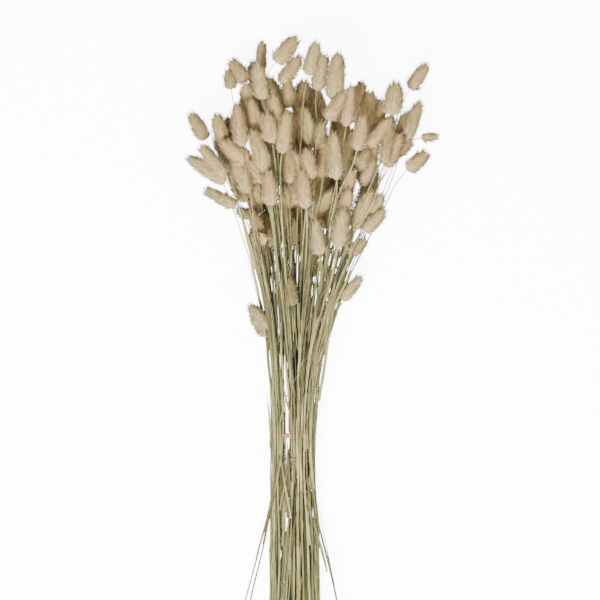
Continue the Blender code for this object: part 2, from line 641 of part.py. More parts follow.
def join(base, others):
    """Join a collection's solids to one solid by a union, and drop the collection."""
    union = base.modifiers.new("union", "BOOLEAN")
    union.operation = "UNION"
    union.operand_type = "COLLECTION"
    union.collection = others
    union.solver = "EXACT"
    bpy.context.view_layer.update()
    graph = bpy.context.evaluated_depsgraph_get()
    joined = bpy.data.meshes.new_from_object(base.evaluated_get(graph))
    base.modifiers.remove(union)
    base.data = joined
    for spare in list(others.objects):
        bpy.data.objects.remove(spare, do_unlink=True)
    bpy.data.collections.remove(others)


def new_collection(name):
    """An empty collection for the solids of one union."""
    made = bpy.data.collections.new(name)
    bpy.context.scene.collection.children.link(made)
    return made


def give_material(made, name, colour, roughness):
    """One plain material for the whole object."""
    material = bpy.data.materials.get(name)
    if material is None:
        material = bpy.data.materials.new(name)
        material.use_nodes = True
        shader = material.node_tree.nodes["Principled BSDF"]
        shader.inputs["Base Color"].default_value = (*colour, 1.0)
        shader.inputs["Roughness"].default_value = roughness
        shader.inputs["Metallic"].default_value = 0.0
    made.data.materials.clear()
    made.data.materials.append(material)


def down_colour(i):
    """Heads are paler to the front of the bunch."""
    return DOWN_COLOURS[int(head_layers()[i])]


def head_turn(i, foot, half):
    """Turn of a head about its axis; one that rests on the table lies on a flat between two edges."""
    return 0.0 if foot[i, 2] < half[i] else HEAD_TURN * i


def build():
    """The stems, the band, and the heads, singly or in pressed groups."""
    for old in list(bpy.data.objects):
        bpy.data.objects.remove(old, do_unlink=True)
    foot, tip, half, groups, knots = lay_out()

    stems = make_hub(knots)
    loose = new_collection("loose stems")
    for i, route in enumerate(knots):
        make_stem(f"stem {i}", route, loose)
    make_leaf(knots, loose)
    join(stems, loose)
    give_material(stems, "dry straw", STRAW_COLOUR, 0.6)

    band = make_band()
    give_material(band, "rubber", RUBBER_COLOUR, 0.55)

    for first, *others in groups:
        name = node_name([first, *others])
        made = make_head(name, foot[first], tip[first], half[first], head_turn(first, foot, half))
        if others:
            pressed = new_collection("pressed heads")
            for k in others:
                make_head(f"head {k}", foot[k], tip[k], half[k], head_turn(k, foot, half), pressed)
            join(made, pressed)
        give_material(made, f"{name} down", down_colour(first), 0.9)


build()
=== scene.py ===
"""Dried bunny tail grass: the tied bunch of stems and seed heads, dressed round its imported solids."""
import json
import math

import bpy
import numpy as np
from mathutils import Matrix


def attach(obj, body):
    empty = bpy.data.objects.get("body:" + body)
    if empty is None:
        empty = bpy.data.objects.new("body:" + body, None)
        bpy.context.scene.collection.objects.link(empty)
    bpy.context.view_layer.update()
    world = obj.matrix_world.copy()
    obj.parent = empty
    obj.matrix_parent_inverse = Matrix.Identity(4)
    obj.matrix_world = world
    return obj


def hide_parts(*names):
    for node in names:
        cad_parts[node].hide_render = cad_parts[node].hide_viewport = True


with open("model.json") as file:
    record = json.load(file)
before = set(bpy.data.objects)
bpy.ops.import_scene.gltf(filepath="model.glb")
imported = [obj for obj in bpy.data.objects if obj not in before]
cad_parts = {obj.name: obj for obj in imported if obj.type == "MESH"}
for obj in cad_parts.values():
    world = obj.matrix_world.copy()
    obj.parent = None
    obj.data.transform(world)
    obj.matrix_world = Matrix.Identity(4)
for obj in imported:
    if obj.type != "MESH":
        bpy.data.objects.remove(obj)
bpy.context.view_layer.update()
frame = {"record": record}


# Stems
# Dried grass culms, pale straw to olive green, about 2 mm thick at the cut end and 1 mm under the head, each
# with two swollen joints and a papery sheath above them. They are tied at the waist and laid down, and run to
# heads that push each other aside, so heads and stems are placed together, in millimetres.
MM_PER_PX = 1.0
ORIGIN_PX = (314.01, 346.52)  # the picture's pixel that lies over the part's origin
TIE_PX = (293.5, 437.5)  # middle of the waist, where the bunch is tied
END_PX = 640.0  # row where most of the stems are cut
UNEVEN = 26.0  # spread of the cut ends' lengths

# Heights over the table, and depths, of the lying bunch
FAN_TURN = 0.38  # how far the outer heads lean aside, in x for each unit of y
FAN_HALF_DEPTH = 44.0  # half the thickness of the bunch at the heads
FAN_HEIGHT = 46.0  # height of the middle of the heads over the table
RISE_LENGTH = 240.0  # distance from the tie over which the middle climbs to that height
TIE_HEIGHT = 18.0  # height of the middle at the tie
END_HEIGHT = 12.0  # the same at the cut ends
LOOSE_HALF_DEPTH = 13.0  # half the thickness just above the tie
LOOSE_SLOPE = 0.17  # and how fast it grows towards the heads
SIDE_DROP = 6.0  # how far the outer heads hang down
SIDE_THINNING = 0.8  # the bunch thins to its sides, as a dome does
TIP_LIFT = 0.15  # how much a head leans away from the bunch's middle

# The waist: the stems inside the band, the slit between them, and the front row that lies over the band
TIE_HALF_WIDTH = 18.0
TIE_HALF_DEPTH = 9.5
SLOT_PITCH = 2.45
SLIT_PX = (284.6, 289.6)
SLIT_CLEAR = 1.0
FRONT_HALF_WIDTH = 22.2
FRONT_HALF_DEPTH = 14.0
FRONT_STEMS = 26
FRONT_START = -14.0  # degrees
FRONT_SWEEP = 208.0
COLUMNS = 12  # the stems are sorted into columns across the waist
TURN_SCATTER = 0.05  # and strays from that order

# The cut ends
END_LEFT = -24.5  # edges of the bundle there, from the tie's middle
END_RIGHT = 28.0
END_DEEPER = 1.25  # depth of the bundle there, as a share of its depth at the tie
END_MIXING = 5.0
END_SCATTER = 3.0
STRAY_HEIGHT = 21.0
# Stems that stray across the front of the lower bundle: places at the tie and at the cut end, row of the cut
STRAYS = ((-9.5, -52.0, 616.0), (-13.0, -45.0, 611.0), (15.5, 47.0, 622.0), (-2.0, 34.0, 575.0))

# The stems' run to the heads
STEM_RADIUS_END = 1.05  # room that a stem takes at its cut end, and above the tie
STEM_RADIUS_TIE = 0.9
NECK = 7.0  # straight length of stem under each head
SEAT_GAP = 0.3  # between a stem's end and the foot of its head
STEM_LEAD = 1.3  # how soon a stem turns from its head's direction to its own
NECK_PULL = 0.25  # length of the curve's handles, as shares of its span
TIE_PULL = 0.42
FAN_STEPS = (0.17, 0.38, 0.60, 0.81)  # places of the free knots between the neck and the tie

# Heads
HEAD_NODES = 58
FULLNESS = 1.14  # of the tufts over the dense part of a head, whose width is in the list below
RING_AT = (0.0, 0.08, 0.25, 0.45, 0.66, 0.85, 1.0)  # outline of a head: share of its length from the foot
RING_SIZE = (0.40, 0.85, 1.0, 1.0, 0.88, 0.62, 0.12)  # and share of its half width there
LAYER_DEPTH = (0.85, 0.22, -0.35, -0.75)  # height of each layer of heads, as a share of the half depth
LAYER_SCATTER = 0.16
REST_HEIGHT = 0.68  # height of the axis of a head pressed on the table, as a share of its half width

# Heads at the back of the bunch, against the table, glimpsed as shadows between the others. Foot x, foot y,
# tip x, tip y in pixels
HIDDEN_HALF_WIDTH = 7.2
HIDDEN_PX = (
    (260, 265, 253, 227), (304, 250, 306, 212), (274, 239, 271, 201), (336, 208, 340, 171),
    (364, 205, 376, 168), (257, 205, 252, 168), (316, 192, 320, 154), (278, 179, 276, 141),
    (344, 172, 351, 134), (304, 155, 306, 117), (297, 148, 293, 110),
)

# Settling: heads and stems move apart in small steps until nothing crosses
SETTLE_STEPS = 520
LOOK_EVERY = 6
LOOK_OUT = 10.0
STEM_SAMPLES = 7  # points on each straight run of stem that are kept clear of the heads
HEAD_SAMPLES = 9  # points along each head, for the same
HEAD_SAMPLED = (0.04, 0.96)  # share of its length that they span
HEAD_CLEAR = 0.8  # gaps that the settling aims at
STEM_CLEAR = 0.7
PRESS_AIM = 4.0  # neighbours that nearly overlap by this are pressed together first
PRESS_ENDWAYS = 0.6  # weights of the distances endways and upwards in that choice
PRESS_UPWAYS = 0.45
GROUP_MOST = 3  # heads pressed together at most
LAYER_GIVES = (0.2, 0.8, 1.1, 1.1)  # how much a head of each layer gives way to the one it is pressed to
PRESS_DEEPEST = -5.2  # pressed heads overlap between these two
PRESS_LEAST = -4.4
SIDEWAYS = 0.3  # heads give way mostly up and down
LENGTHWAYS = 0.1
UP_AT_LEAST = 0.5
HEAD_GIVE = 0.13  # share of an overlap that is mended in one step
STEM_GIVE = 0.28
NECK_GIVE = 0.1
BACK_GIVE = 0.03
PRESS_GIVE = 0.25
PRESS_SIDEWAYS = 0.6
LARGEST_MOVE = 1.6
HOMING = 0.08  # pull to the place read in the picture, in the first half of the steps
UNBENDING = 0.98
SINKING = 0.15  # the hidden heads sink to the table
GOLDEN = 0.6180339887
DRIFT = 0.5698402910
LENGTHS = 0.7548776662
ROUND_TO = 7  # digits kept at each step, so that every run gives the same places

# Heads as read in the picture, in pixels: foot x, foot y, tip x, tip y, width, layer (0 front to 3 back)
HEADS_PX = (
    (248, 80, 231, 57, 15, 1), (229, 91, 227, 71, 13, 2), (261, 72, 262, 40, 11, 1),
    (264, 102, 258, 65, 15, 0), (259, 92, 252, 59, 13, 2), (276, 66, 298, 41, 17, 0),
    (283, 80, 300, 56, 12, 1), (308, 78, 317, 44, 15, 0), (318, 91, 325, 59, 13, 1),
    (333, 100, 338, 53, 18, 0), (325, 125, 344, 97, 15, 0), (347, 129, 353, 86, 12, 0),
    (356, 120, 362, 80, 13, 2), (367, 125, 371, 92, 15, 1), (391, 117, 395, 83, 19, 0),
    (410, 89, 428, 63, 14, 1), (403, 140, 422, 98, 14, 1), (420, 138, 440, 136, 9.5, 1),
    (397, 161, 413, 148, 9, 2), (407, 171, 428, 152, 15, 0), (378, 141, 386, 122, 12, 1),
    (356, 152, 363, 117, 15, 0), (355, 169, 367, 148, 17, 1), (360, 182, 371, 156, 13, 1),
    (336, 181, 333, 132, 14.5, 0), (311, 175, 308, 144, 14, 0), (307, 176, 294, 151, 11, 1),
    (322, 171, 324, 140, 13, 1), (313, 142, 302, 107, 13, 1), (317, 151, 323, 122, 12, 1),
    (311, 124, 303, 88, 14, 2), (319, 121, 314, 85, 15, 3), (300, 115, 304, 79, 15, 2),
    (287, 111, 288, 82, 15, 1), (285, 156, 291, 112, 14.5, 0), (276, 133, 274, 99, 13, 0.5),
    (270, 144, 265, 114, 16, 0), (266, 152, 261, 119, 12, 1), (281, 110, 272, 75, 15, 2),
    (250, 120, 246, 86, 13, 1), (243, 148, 237, 103, 14, 0.5), (234, 148, 231, 113, 13, 2),
    (223, 140, 217, 115, 13, 1), (206, 140, 190, 112, 15, 1), (226, 178, 200, 145, 14, 0),
    (224, 181, 188, 158, 12.5, 1), (237, 207, 203, 189, 13, 0.5), (235, 170, 215, 141, 14, 1.5),
    (246, 190, 229, 147, 16, 1), (243, 197, 227, 163, 15, 2), (247, 160, 222, 142, 13, 1),
    (266, 180, 244, 153, 13, 1), (266, 170, 254, 131, 15, 0.5), (266, 197, 252, 164, 13, 2),
    (272, 207, 269, 171, 14, 0), (259, 200, 248, 166, 14, 2), (305, 216, 301, 176, 15, 0),
    (288, 182, 288, 150, 13, 1), (290, 196, 293, 158, 15, 2), (285, 223, 283, 188, 14, 2),
    (294, 229, 296, 192, 15, 3), (259, 224, 251, 202, 13, 1), (251, 214, 237, 210, 10, 2),
    (268, 242, 263, 208, 13, 2), (268, 248, 248, 247, 14, 1), (268, 263, 264, 236, 12, 2),
    (292, 256, 295, 226, 14, 2), (320, 255, 315, 219, 14, 0), (338, 244, 343, 212, 17, 0),
    (313, 218, 332, 192, 13, 1), (325, 224, 331, 190, 14, 2), (343, 216, 349, 188, 14, 1),
    (346, 196, 353, 167, 13, 1), (371, 213, 384, 192, 13, 1), (364, 232, 385, 210, 14, 0),
    (350, 254, 366, 238, 13, 1), (342, 300, 363, 275, 12, 1), (354, 226, 369, 193, 14, 1.5),
    (369, 178, 377, 145, 11, 1), (386, 158, 393, 120, 12, 1), (387, 167, 402, 132, 14, 1),
    (399, 142, 407, 108, 14, 2), (328, 212, 325, 176, 16, 3), (263, 129, 259, 92, 14, 2),
    (257, 136, 251, 102, 14, 1), (269, 327, 248, 304, 14, 1), (266, 335, 252, 315, 12, 2),
    (294, 306, 291, 277, 12, 2), (313, 277, 312, 248, 12, 2), (338, 144, 341, 106, 16, 3),
    (376, 137, 379, 101, 14, 2),
)


def length(v):
    return np.sqrt(v[..., 0] ** 2 + v[..., 1] ** 2 + v[..., 2] ** 2)


def dot(a, b):
    return a[..., 0] * b[..., 0] + a[..., 1] * b[..., 1] + a[..., 2] * b[..., 2]


def middle_height(reach):
    """Height of the bunch's middle line, by distance from the tie towards the heads."""
    s = np.clip(reach / RISE_LENGTH, 0.0, 1.0)
    return TIE_HEIGHT + (FAN_HEIGHT - TIE_HEIGHT) * s * s * (3.0 - 2.0 * s)


def half_depth(reach):
    return np.minimum(FAN_HALF_DEPTH, LOOSE_HALF_DEPTH + LOOSE_SLOPE * reach)


def scatter(count, step):
    """Evenly spread values from -0.5 to 0.5 in a mixed order."""
    return ((np.arange(count) * step) % 1.0) - 0.5


def at_pixel(x, y, height=0.0):
    """The point that the picture shows at a pixel, at a height over the table."""
    return np.array([(x - ORIGIN_PX[0]) * MM_PER_PX, (ORIGIN_PX[1] - y) * MM_PER_PX, height])


def tie_point():
    """Middle of the waist."""
    return at_pixel(*TIE_PX, TIE_HEIGHT)


def head_layers():
    """Layer of each head, from 0 at the front to 3 at the back."""
    return np.array([row[5] for row in HEADS_PX] + [3.0] * len(HIDDEN_PX))


def place_heads():
    """Foot, tip and half width of each head: those of the picture, then the hidden ones."""
    rows = np.array([row[:4] for row in HEADS_PX] + list(HIDDEN_PX), float)
    seen = len(HEADS_PX)
    foot = np.array([at_pixel(*row[0:2]) for row in rows])
    tip = np.array([at_pixel(*row[2:4]) for row in rows])
    half = np.full(len(rows), HIDDEN_HALF_WIDTH)
    half[:seen] = [row[4] * MM_PER_PX / 2 * FULLNESS for row in HEADS_PX]
    tie = tie_point()
    share = np.interp(head_layers(), range(4), LAYER_DEPTH)
    share += LAYER_SCATTER * scatter(len(share), GOLDEN)
    share[seen:] = -1.0
    reach = foot[:, 1] - tie[1]
    aside = np.clip((foot[:, 0] - tie[0]) / reach / FAN_TURN, -1.0, 1.0)
    share *= np.sqrt(1.0 - SIDE_THINNING * aside * aside)
    foot[:, 2] = middle_height(reach) - SIDE_DROP * aside * aside + share * half_depth(reach)
    spread = np.sqrt((tip[:, 0] - foot[:, 0]) ** 2 + (tip[:, 1] - foot[:, 1]) ** 2)
    tip[:, 2] = foot[:, 2] + share * spread * TIP_LIFT
    for end in (foot, tip):
        end[:, 2] = np.maximum(end[:, 2], half * REST_HEIGHT)
    return foot, tip, half


def closeness(points, radius, heads, foot, tip, half):
    """Gap from each point to the head named with it, the way out of that head, and the place along it."""
    along = tip[heads] - foot[heads]
    reach = points - foot[heads]
    t = np.clip(dot(reach, along) / dot(along, along), 0.0, 1.0)
    away = reach - along * t[:, None]
    far = np.maximum(length(away), 1e-6)
    gap = far - np.interp(t, RING_AT, RING_SIZE) * half[heads] - radius
    return gap, away / far[:, None], t


def neighbours(points, owner, foot, tip, half):
    """Pairs of a point and a head other than its own that lie near each other."""
    reach = length(tip - foot) / 2 + half + LOOK_OUT
    near = length(points[:, None] - ((foot + tip) / 2)[None]) < reach[None]
    near[np.arange(len(owner)), owner] = False
    return np.nonzero(near)


def gather(index, values, count):
    """Sum of the vectors that share an index."""
    return np.stack([np.bincount(index, values[:, axis], count) for axis in range(3)], axis=1)


def press_together(foot, tip, half, wanted):
    """Links between neighbouring heads that press together, the closest first, and each head's group."""
    middle = (foot + tip) / 2
    apart = middle[:, None] - middle[None]
    flat = np.sqrt(apart[..., 0] ** 2 + (apart[..., 1] * PRESS_ENDWAYS) ** 2)
    flat = np.abs(flat - half[:, None] - half[None] + PRESS_AIM)
    costs = np.round(flat + PRESS_UPWAYS * np.abs(apart[..., 2]), 4)
    group = np.arange(len(foot))
    links = []
    for _, i, k in sorted((costs[i, k], i, k) for i in range(len(foot)) for k in range(i + 1, len(foot))):
        joined = (group == group[i]) | (group == group[k])
        if group[i] != group[k] and joined.sum() <= GROUP_MOST and len(links) < wanted:
            group[joined] = min(group[i], group[k])
            links.append((i, k))
    return np.array(links), group


def tie_slots(count):
    """Places of the stems in the waist: most inside the band, a front row over it."""
    slit = [(x - TIE_PX[0]) * MM_PER_PX for x in SLIT_PX]
    front = []
    for k in range(FRONT_STEMS):
        turn = math.radians(FRONT_START + FRONT_SWEEP * k / (FRONT_STEMS - 1))
        x = FRONT_HALF_WIDTH * math.cos(turn)
        if not slit[0] - SLIT_CLEAR < x < slit[1] + SLIT_CLEAR:
            front.append((x, FRONT_HALF_DEPTH * math.sin(turn)))
    inside = []
    row_pitch = SLOT_PITCH * math.sin(math.radians(60))
    rows = math.ceil(TIE_HALF_DEPTH / row_pitch)
    columns = math.ceil(TIE_HALF_WIDTH / SLOT_PITCH)
    for row in range(-rows, rows + 1):
        for column in range(-columns - 1, columns + 1):
            x = (column + 0.5 * (row % 2)) * SLOT_PITCH
            z = row * row_pitch
            share = (x / TIE_HALF_WIDTH) ** 2 + (z / TIE_HALF_DEPTH) ** 2
            if share <= 1.0 and not slit[0] - SLIT_CLEAR < x < slit[1] + SLIT_CLEAR:
                inside.append((share, x, z))
    inside = sorted(inside)[: count - len(front)]
    return np.array(front + [(x, z) for _, x, z in inside])


def deal_slots(foot, slots):
    """Give each head the slot in the waist that lies on its own side of the bunch."""
    tie = tie_point()
    reach = foot[:, 1] - tie[1]
    turn = (foot[:, 0] - tie[0]) / reach + TURN_SCATTER * scatter(len(foot), GOLDEN)
    level = (foot[:, 2] - middle_height(reach)) / half_depth(reach)
    by_turn = np.array_split(np.argsort(turn, kind="stable"), COLUMNS)
    by_side = np.array_split(np.argsort(slots[:, 0], kind="stable"), COLUMNS)
    dealt = np.zeros((len(foot), 2))
    for heads, places in zip(by_turn, by_side):
        heads = heads[np.argsort(level[heads], kind="stable")]
        places = places[np.argsort(slots[places, 1], kind="stable")]
        dealt[heads] = slots[places]
    return dealt


def fan_route(foot, tip, dealt):
    """Knots of each stem from its head's foot to the tie, on a smooth curve."""
    tie = tie_point()
    axis = (tip - foot) / length(tip - foot)[:, None]
    neck = foot - axis * NECK
    end = np.zeros_like(foot)
    end[:, 0] = tie[0] + dealt[:, 0]
    end[:, 1] = tie[1]
    end[:, 2] = tie[2] + dealt[:, 1]
    span = neck - end
    reach = length(span)
    lead = axis + STEM_LEAD * span / reach[:, None]
    lead /= length(lead)[:, None]
    first = neck - lead * (NECK_PULL * reach)[:, None]
    second = end.copy()
    second[:, 1] += TIE_PULL * reach
    knots = [foot - axis * SEAT_GAP, neck]
    for t in FAN_STEPS:
        u = 1.0 - t
        knots.append(u**3 * neck + 3 * u * u * t * first + 3 * u * t * t * second + t**3 * end)
    knots.append(end)
    return np.stack(knots, axis=1)


def shifted_route(foot, tip, dealt, shift):
    """The stems' knots with their free ones moved aside, and none of them in the table."""
    knots = fan_route(foot, tip, dealt)
    knots[:, 2:-1] += shift
    knots[:, 2:-1, 2] = np.maximum(knots[:, 2:-1, 2], STEM_RADIUS_TIE)
    return knots


def stem_points(knots):
    """Points along the runs between a stem's knots, for all the stems."""
    share = (np.arange(STEM_SAMPLES) + 0.5) / STEM_SAMPLES
    first = knots[:, :-1, None]
    return (first + (knots[:, 1:, None] - first) * share[None, None, :, None]).reshape(-1, 3)


def settle(foot, tip, half, links, group, dealt):
    """Push heads and stems clear of each other, mostly up and down, until nothing crosses."""
    count = len(foot)
    runs = len(FAN_STEPS) + 2
    at = np.tile(np.linspace(*HEAD_SAMPLED, HEAD_SAMPLES), count)
    whose = np.repeat(np.arange(count), HEAD_SAMPLES)
    thick = half[whose] * np.interp(at, RING_AT, RING_SIZE)
    stem = np.repeat(np.arange(count), runs * STEM_SAMPLES)
    knot = stem * (runs + 1) + np.tile(np.repeat(np.arange(runs), STEM_SAMPLES), count)
    share = np.tile((np.arange(STEM_SAMPLES) + 0.5) / STEM_SAMPLES, count * runs)
    gives = np.interp(head_layers(), range(4), LAYER_GIVES)
    gives = 2.0 * gives[links] / gives[links].sum(axis=1)[:, None]
    link_of = np.full((count, count), -1)
    link_of[links[:, 0], links[:, 1]] = link_of[links[:, 1], links[:, 0]] = np.arange(len(links))
    start = foot.copy(), tip.copy()
    shift = np.zeros((count, len(FAN_STEPS), 3))
    for step in range(SETTLE_STEPS):
        easing = step < SETTLE_STEPS / 2
        knots = shifted_route(foot, tip, dealt, shift)
        spots = foot[whose] + (tip - foot)[whose] * at[:, None]
        points = stem_points(knots)
        if step % LOOK_EVERY == 0:
            spot, other = neighbours(spots, whose, foot, tip, half)
            point, head = neighbours(points, stem, foot, tip, half)

        # heads against heads
        mine = whose[spot]
        gap, out, t = closeness(spots[spot], thick[spot], other, foot, tip, half)
        pressed = group[mine] == group[other]
        push = np.where(pressed, np.clip(PRESS_DEEPEST - gap, 0.0, 2.0), np.clip(HEAD_CLEAR - gap, 0.0, 4.0))
        rise = np.where(out[:, 2] >= 0.0, 1.0, -1.0) * np.maximum(np.abs(out[:, 2]), UP_AT_LEAST)
        way = np.stack([out[:, 0] * SIDEWAYS, out[:, 1] * LENGTHWAYS, rise], axis=1)
        push = way * (push * HEAD_GIVE)[:, None]
        foot_move = gather(mine, push * (1.0 - at[spot])[:, None], count)
        tip_move = gather(mine, push * at[spot][:, None], count)
        foot_move -= gather(other, push * (1.0 - t)[:, None], count)
        tip_move -= gather(other, push * t[:, None], count)

        # linked heads draw together until they hold
        link = link_of[mine, other]
        nearest = np.full(len(links), LOOK_OUT)
        np.minimum.at(nearest, link[link >= 0], gap[link >= 0])
        apart = (foot + tip)[links[:, 1]] - (foot + tip)[links[:, 0]]
        pull = PRESS_GIVE * np.clip(nearest - PRESS_LEAST, 0.0, 2.0)
        apart = apart / np.maximum(length(apart), 1e-6)[:, None] * pull[:, None]
        apart[:, :2] *= PRESS_SIDEWAYS
        apart = gather(links[:, 0], apart * gives[:, :1], count) - gather(
            links[:, 1], apart * gives[:, 1:], count
        )
        foot_move += apart
        tip_move += apart

        # stems against heads
        gap, out, t = closeness(points[point], STEM_RADIUS_TIE, head, foot, tip, half)
        push = out * np.clip(STEM_CLEAR - gap, 0.0, 3.0)[:, None]
        push[:, 1] = 0.0
        foot_move -= gather(head, push * (BACK_GIVE * (1.0 - t))[:, None], count)
        tip_move -= gather(head, push * (BACK_GIVE * t)[:, None], count)
        size = count * (runs + 1)
        nudge = gather(knot[point], push * (1.0 - share[point])[:, None], size)
        nudge += gather(knot[point] + 1, push * share[point][:, None], size)
        nudge = nudge.reshape(count, runs + 1, 3)
        shift += np.clip(nudge[:, 2:-1] * STEM_GIVE, -LARGEST_MOVE, LARGEST_MOVE)
        foot_move += (nudge[:, 0] + nudge[:, 1]) * NECK_GIVE

        for end, move, first in ((foot, foot_move, start[0]), (tip, tip_move, start[1])):
            end += np.clip(move, -LARGEST_MOVE, LARGEST_MOVE)
            if easing:
                end[:, :2] += (first[:, :2] - end[:, :2]) * HOMING
            end[-len(HIDDEN_PX):, 2] -= SINKING
            end[:, 2] = np.maximum(end[:, 2], half * REST_HEIGHT)
            end[:] = np.round(end, ROUND_TO)
        if easing:
            shift *= UNBENDING
        shift[:] = np.round(shift, ROUND_TO)
    return shifted_route(foot, tip, dealt, shift)


def cut_ends(dealt):
    """The cut end of each stem, spread a little wider than at the tie."""
    tie = tie_point()
    count = len(dealt)
    end = np.zeros((count, 3))
    mixed = dealt[:, 0] + END_MIXING * scatter(count, GOLDEN)
    order = np.argsort(np.argsort(mixed, kind="stable"), kind="stable")
    end[:, 0] = tie[0] + END_LEFT + (END_RIGHT - END_LEFT) * order / (count - 1.0)
    end[:, 1] = (ORIGIN_PX[1] - END_PX) * MM_PER_PX + UNEVEN * scatter(count, LENGTHS)
    end[:, 2] = END_HEIGHT + dealt[:, 1] * END_DEEPER + END_SCATTER * scatter(count, DRIFT)
    for at_tie, at_end, row in STRAYS:
        k = int(np.argmin(np.abs(dealt[:, 0] - at_tie) - 0.5 * dealt[:, 1]))
        end[k] = tie[0] + at_end, (ORIGIN_PX[1] - row) * MM_PER_PX, STRAY_HEIGHT
    end[:, 2] = np.maximum(end[:, 2], STEM_RADIUS_END * 0.5)
    return end


def lay_out():
    """The whole bunch: heads' feet, tips and half widths, the pressed groups, and the stems' knots."""
    foot, tip, half = place_heads()
    links, group = press_together(foot, tip, half, len(foot) - HEAD_NODES)
    dealt = deal_slots(foot, tie_slots(len(foot)))
    knots = settle(foot, tip, half, links, group, dealt)
    knots = np.concatenate([knots, cut_ends(dealt)[:, None]], axis=1)
    groups = [[int(i) for i in np.nonzero(group == first)[0]] for first in sorted(set(group.tolist()))]
    return foot, tip, half, groups, knots


foot, tip, half, groups, knots = lay_out()

# Thickness, joints and colours of the stems
NECK_RADIUS = 0.56
FAN_RADIUS = 0.78
WAIST_RADIUS = 0.80
CUT_RADIUS = 1.02
STEM_ROUND = 7  # points round a stem, and length between their rings
RING_PITCH = 9.0
THICKER = (0.88, 1.2)  # how stems differ in thickness
WANDER = (0.6, 4.2)  # how far a stem strays sideways below the band
WANDER_TURNS = (0.7, 2.2)  # bends on the way
FAN_WANDER = (0.2, 1.6)  # and above it
FAN_WANDER_LENGTH = 130.0
FAN_WANDER_PITCH = 30.0
JOINT_PLACE = (0.15, 0.85)  # of the lower joint, as a share of the way to the waist
UPPER_JOINT = (20.0, 120.0)  # of the upper one, past the waist
JOINT_SWELL = 0.26
JOINT_LONG = 1.1
JOINT_RINGS = (-2.0, -0.9, 0.0, 0.9, 2.0)  # rings of points round a joint, and round its sheath's edge
SHEATH_RINGS = (-0.4, 0.4)
SHEATH_SWELL = 0.13
LOWER_SHEATH = (45.0, 95.0)  # lengths of the sheaths over the two joints
UPPER_SHEATH = (40.0, 80.0)
STRAW_PALE = np.array((0.33, 0.308, 0.128))
STRAW_OLIVE = np.array((0.032, 0.030, 0.008))
STRAW_GREEN = np.array((0.11, 0.125, 0.036))
STRAW_BROWN = np.array((0.085, 0.052, 0.018))
FADE_LENGTH = 150.0  # from the waist
NECK_FADE = 0.5  # towards the heads all stems fade to one pale straw
NECK_PALE = 0.8
BROWN_STEMS = 0.12  # share of stems that have browned right through
PAINTED_INNER_SHADE = 0.08  # painted shade on the stems inside the bunch, darker towards its middle
PAINTED_CROWN_SHADE = 0.68  # the same painted shade, lighter among the heads
SHADE_ROWS = (300.0, 235.0)  # rows of the picture between which the one turns into the other
SHADE_DEPTH = (0.45, 1.3)  # share of the way out of the bunch, from full shade to none


def square_to(direction):
    """Two unit vectors square to each direction and to each other, the second one as upright as can be."""
    side = np.cross((0.0, 0.0, 1.0), direction)
    side /= np.maximum(length(side), 1e-9)[..., None]
    return side, np.cross(direction, side)


def make_piece(name, points, faces, tint, material, slot, nodes, normals=None):
    """A mesh piece in metres from points in millimetres, tinted point by point, in place of its solids."""
    mesh = bpy.data.meshes.new(name)
    mesh.from_pydata((np.asarray(points) / 1000.0).tolist(), [], faces)
    mesh.shade_smooth()
    layer = mesh.color_attributes.new("tint", "FLOAT_COLOR", "POINT")
    layer.data.foreach_set("color", np.column_stack([tint, np.ones(len(tint))]).ravel())
    mesh.materials.append(material)
    if normals is not None:
        mesh.normals_split_custom_set_from_vertices(normals)
    piece = bpy.data.objects.new(name, mesh)
    bpy.context.scene.collection.objects.link(piece)
    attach(piece, "root")
    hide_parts(*nodes)


def smooth_route(knots):
    """A stem's knots joined by one smooth curve, as points about evenly apart, from cut end to head."""
    way = knots[::-1]
    step = length(way[1:] - way[:-1])
    slope = (way[1:] - way[:-1]) / step[:, None]
    lean = np.empty_like(way)
    lean[1:-1] = (slope[:-1] * step[1:, None] + slope[1:] * step[:-1, None]) / (step[:-1] + step[1:])[:, None]
    lean[0] = slope[0]
    lean[-1] = slope[-1]
    points = []
    for a in range(len(step)):
        count = max(2, int(round(step[a] / RING_PITCH)))
        for u in np.arange(count) / count:
            w = 1.0 - u
            points.append(
                w * w * (1 + 2 * u) * way[a]
                + u * u * (3 - 2 * u) * way[a + 1]
                + step[a] * (u * w * w * lean[a] - u * u * w * lean[a + 1])
            )
    points.append(way[-1])
    return np.array(points)


def mix(a, b, share):
    """The blend of two colours."""
    return a + (b - a) * share


def shares(count):
    """Even steps from 0 to 1 along a piece, as a column."""
    return np.linspace(0.0, 1.0, count)[:, None]


def ring_faces(rings, sides):
    """Faces that join rings of points to one closed skin."""
    faces = []
    for r in range(rings - 1):
        for k in range(sides):
            a, b = r * sides + k, r * sides + (k + 1) % sides
            faces.append((a, b, b + sides, a + sides))
    faces.append(tuple(range(sides - 1, -1, -1)))
    faces.append(tuple((rings - 1) * sides + k for k in range(sides)))
    return faces


def tube(route, radii, sides, phase=0.0):
    """Points of a round tube along a route, and its faces with both ends closed."""
    ahead = np.gradient(route, axis=0)
    ahead /= length(ahead)[:, None]
    side, up = square_to(ahead)
    turn = 2 * math.pi * np.arange(sides) / sides + phase
    spoke = side[:, None] * np.cos(turn)[None, :, None] + up[:, None] * np.sin(turn)[None, :, None]
    points = route[:, None] + spoke * np.asarray(radii)[:, None, None]
    return points.reshape(-1, 3), ring_faces(len(route), sides)


def gather_pieces(made):
    """Several (points, faces, tints) as one mesh."""
    faces, count = [], 0
    for p, f, _ in made:
        faces += [tuple(v + count for v in face) for face in f]
        count += len(p)
    return np.concatenate([m[0] for m in made]), faces, np.concatenate([m[2] for m in made])


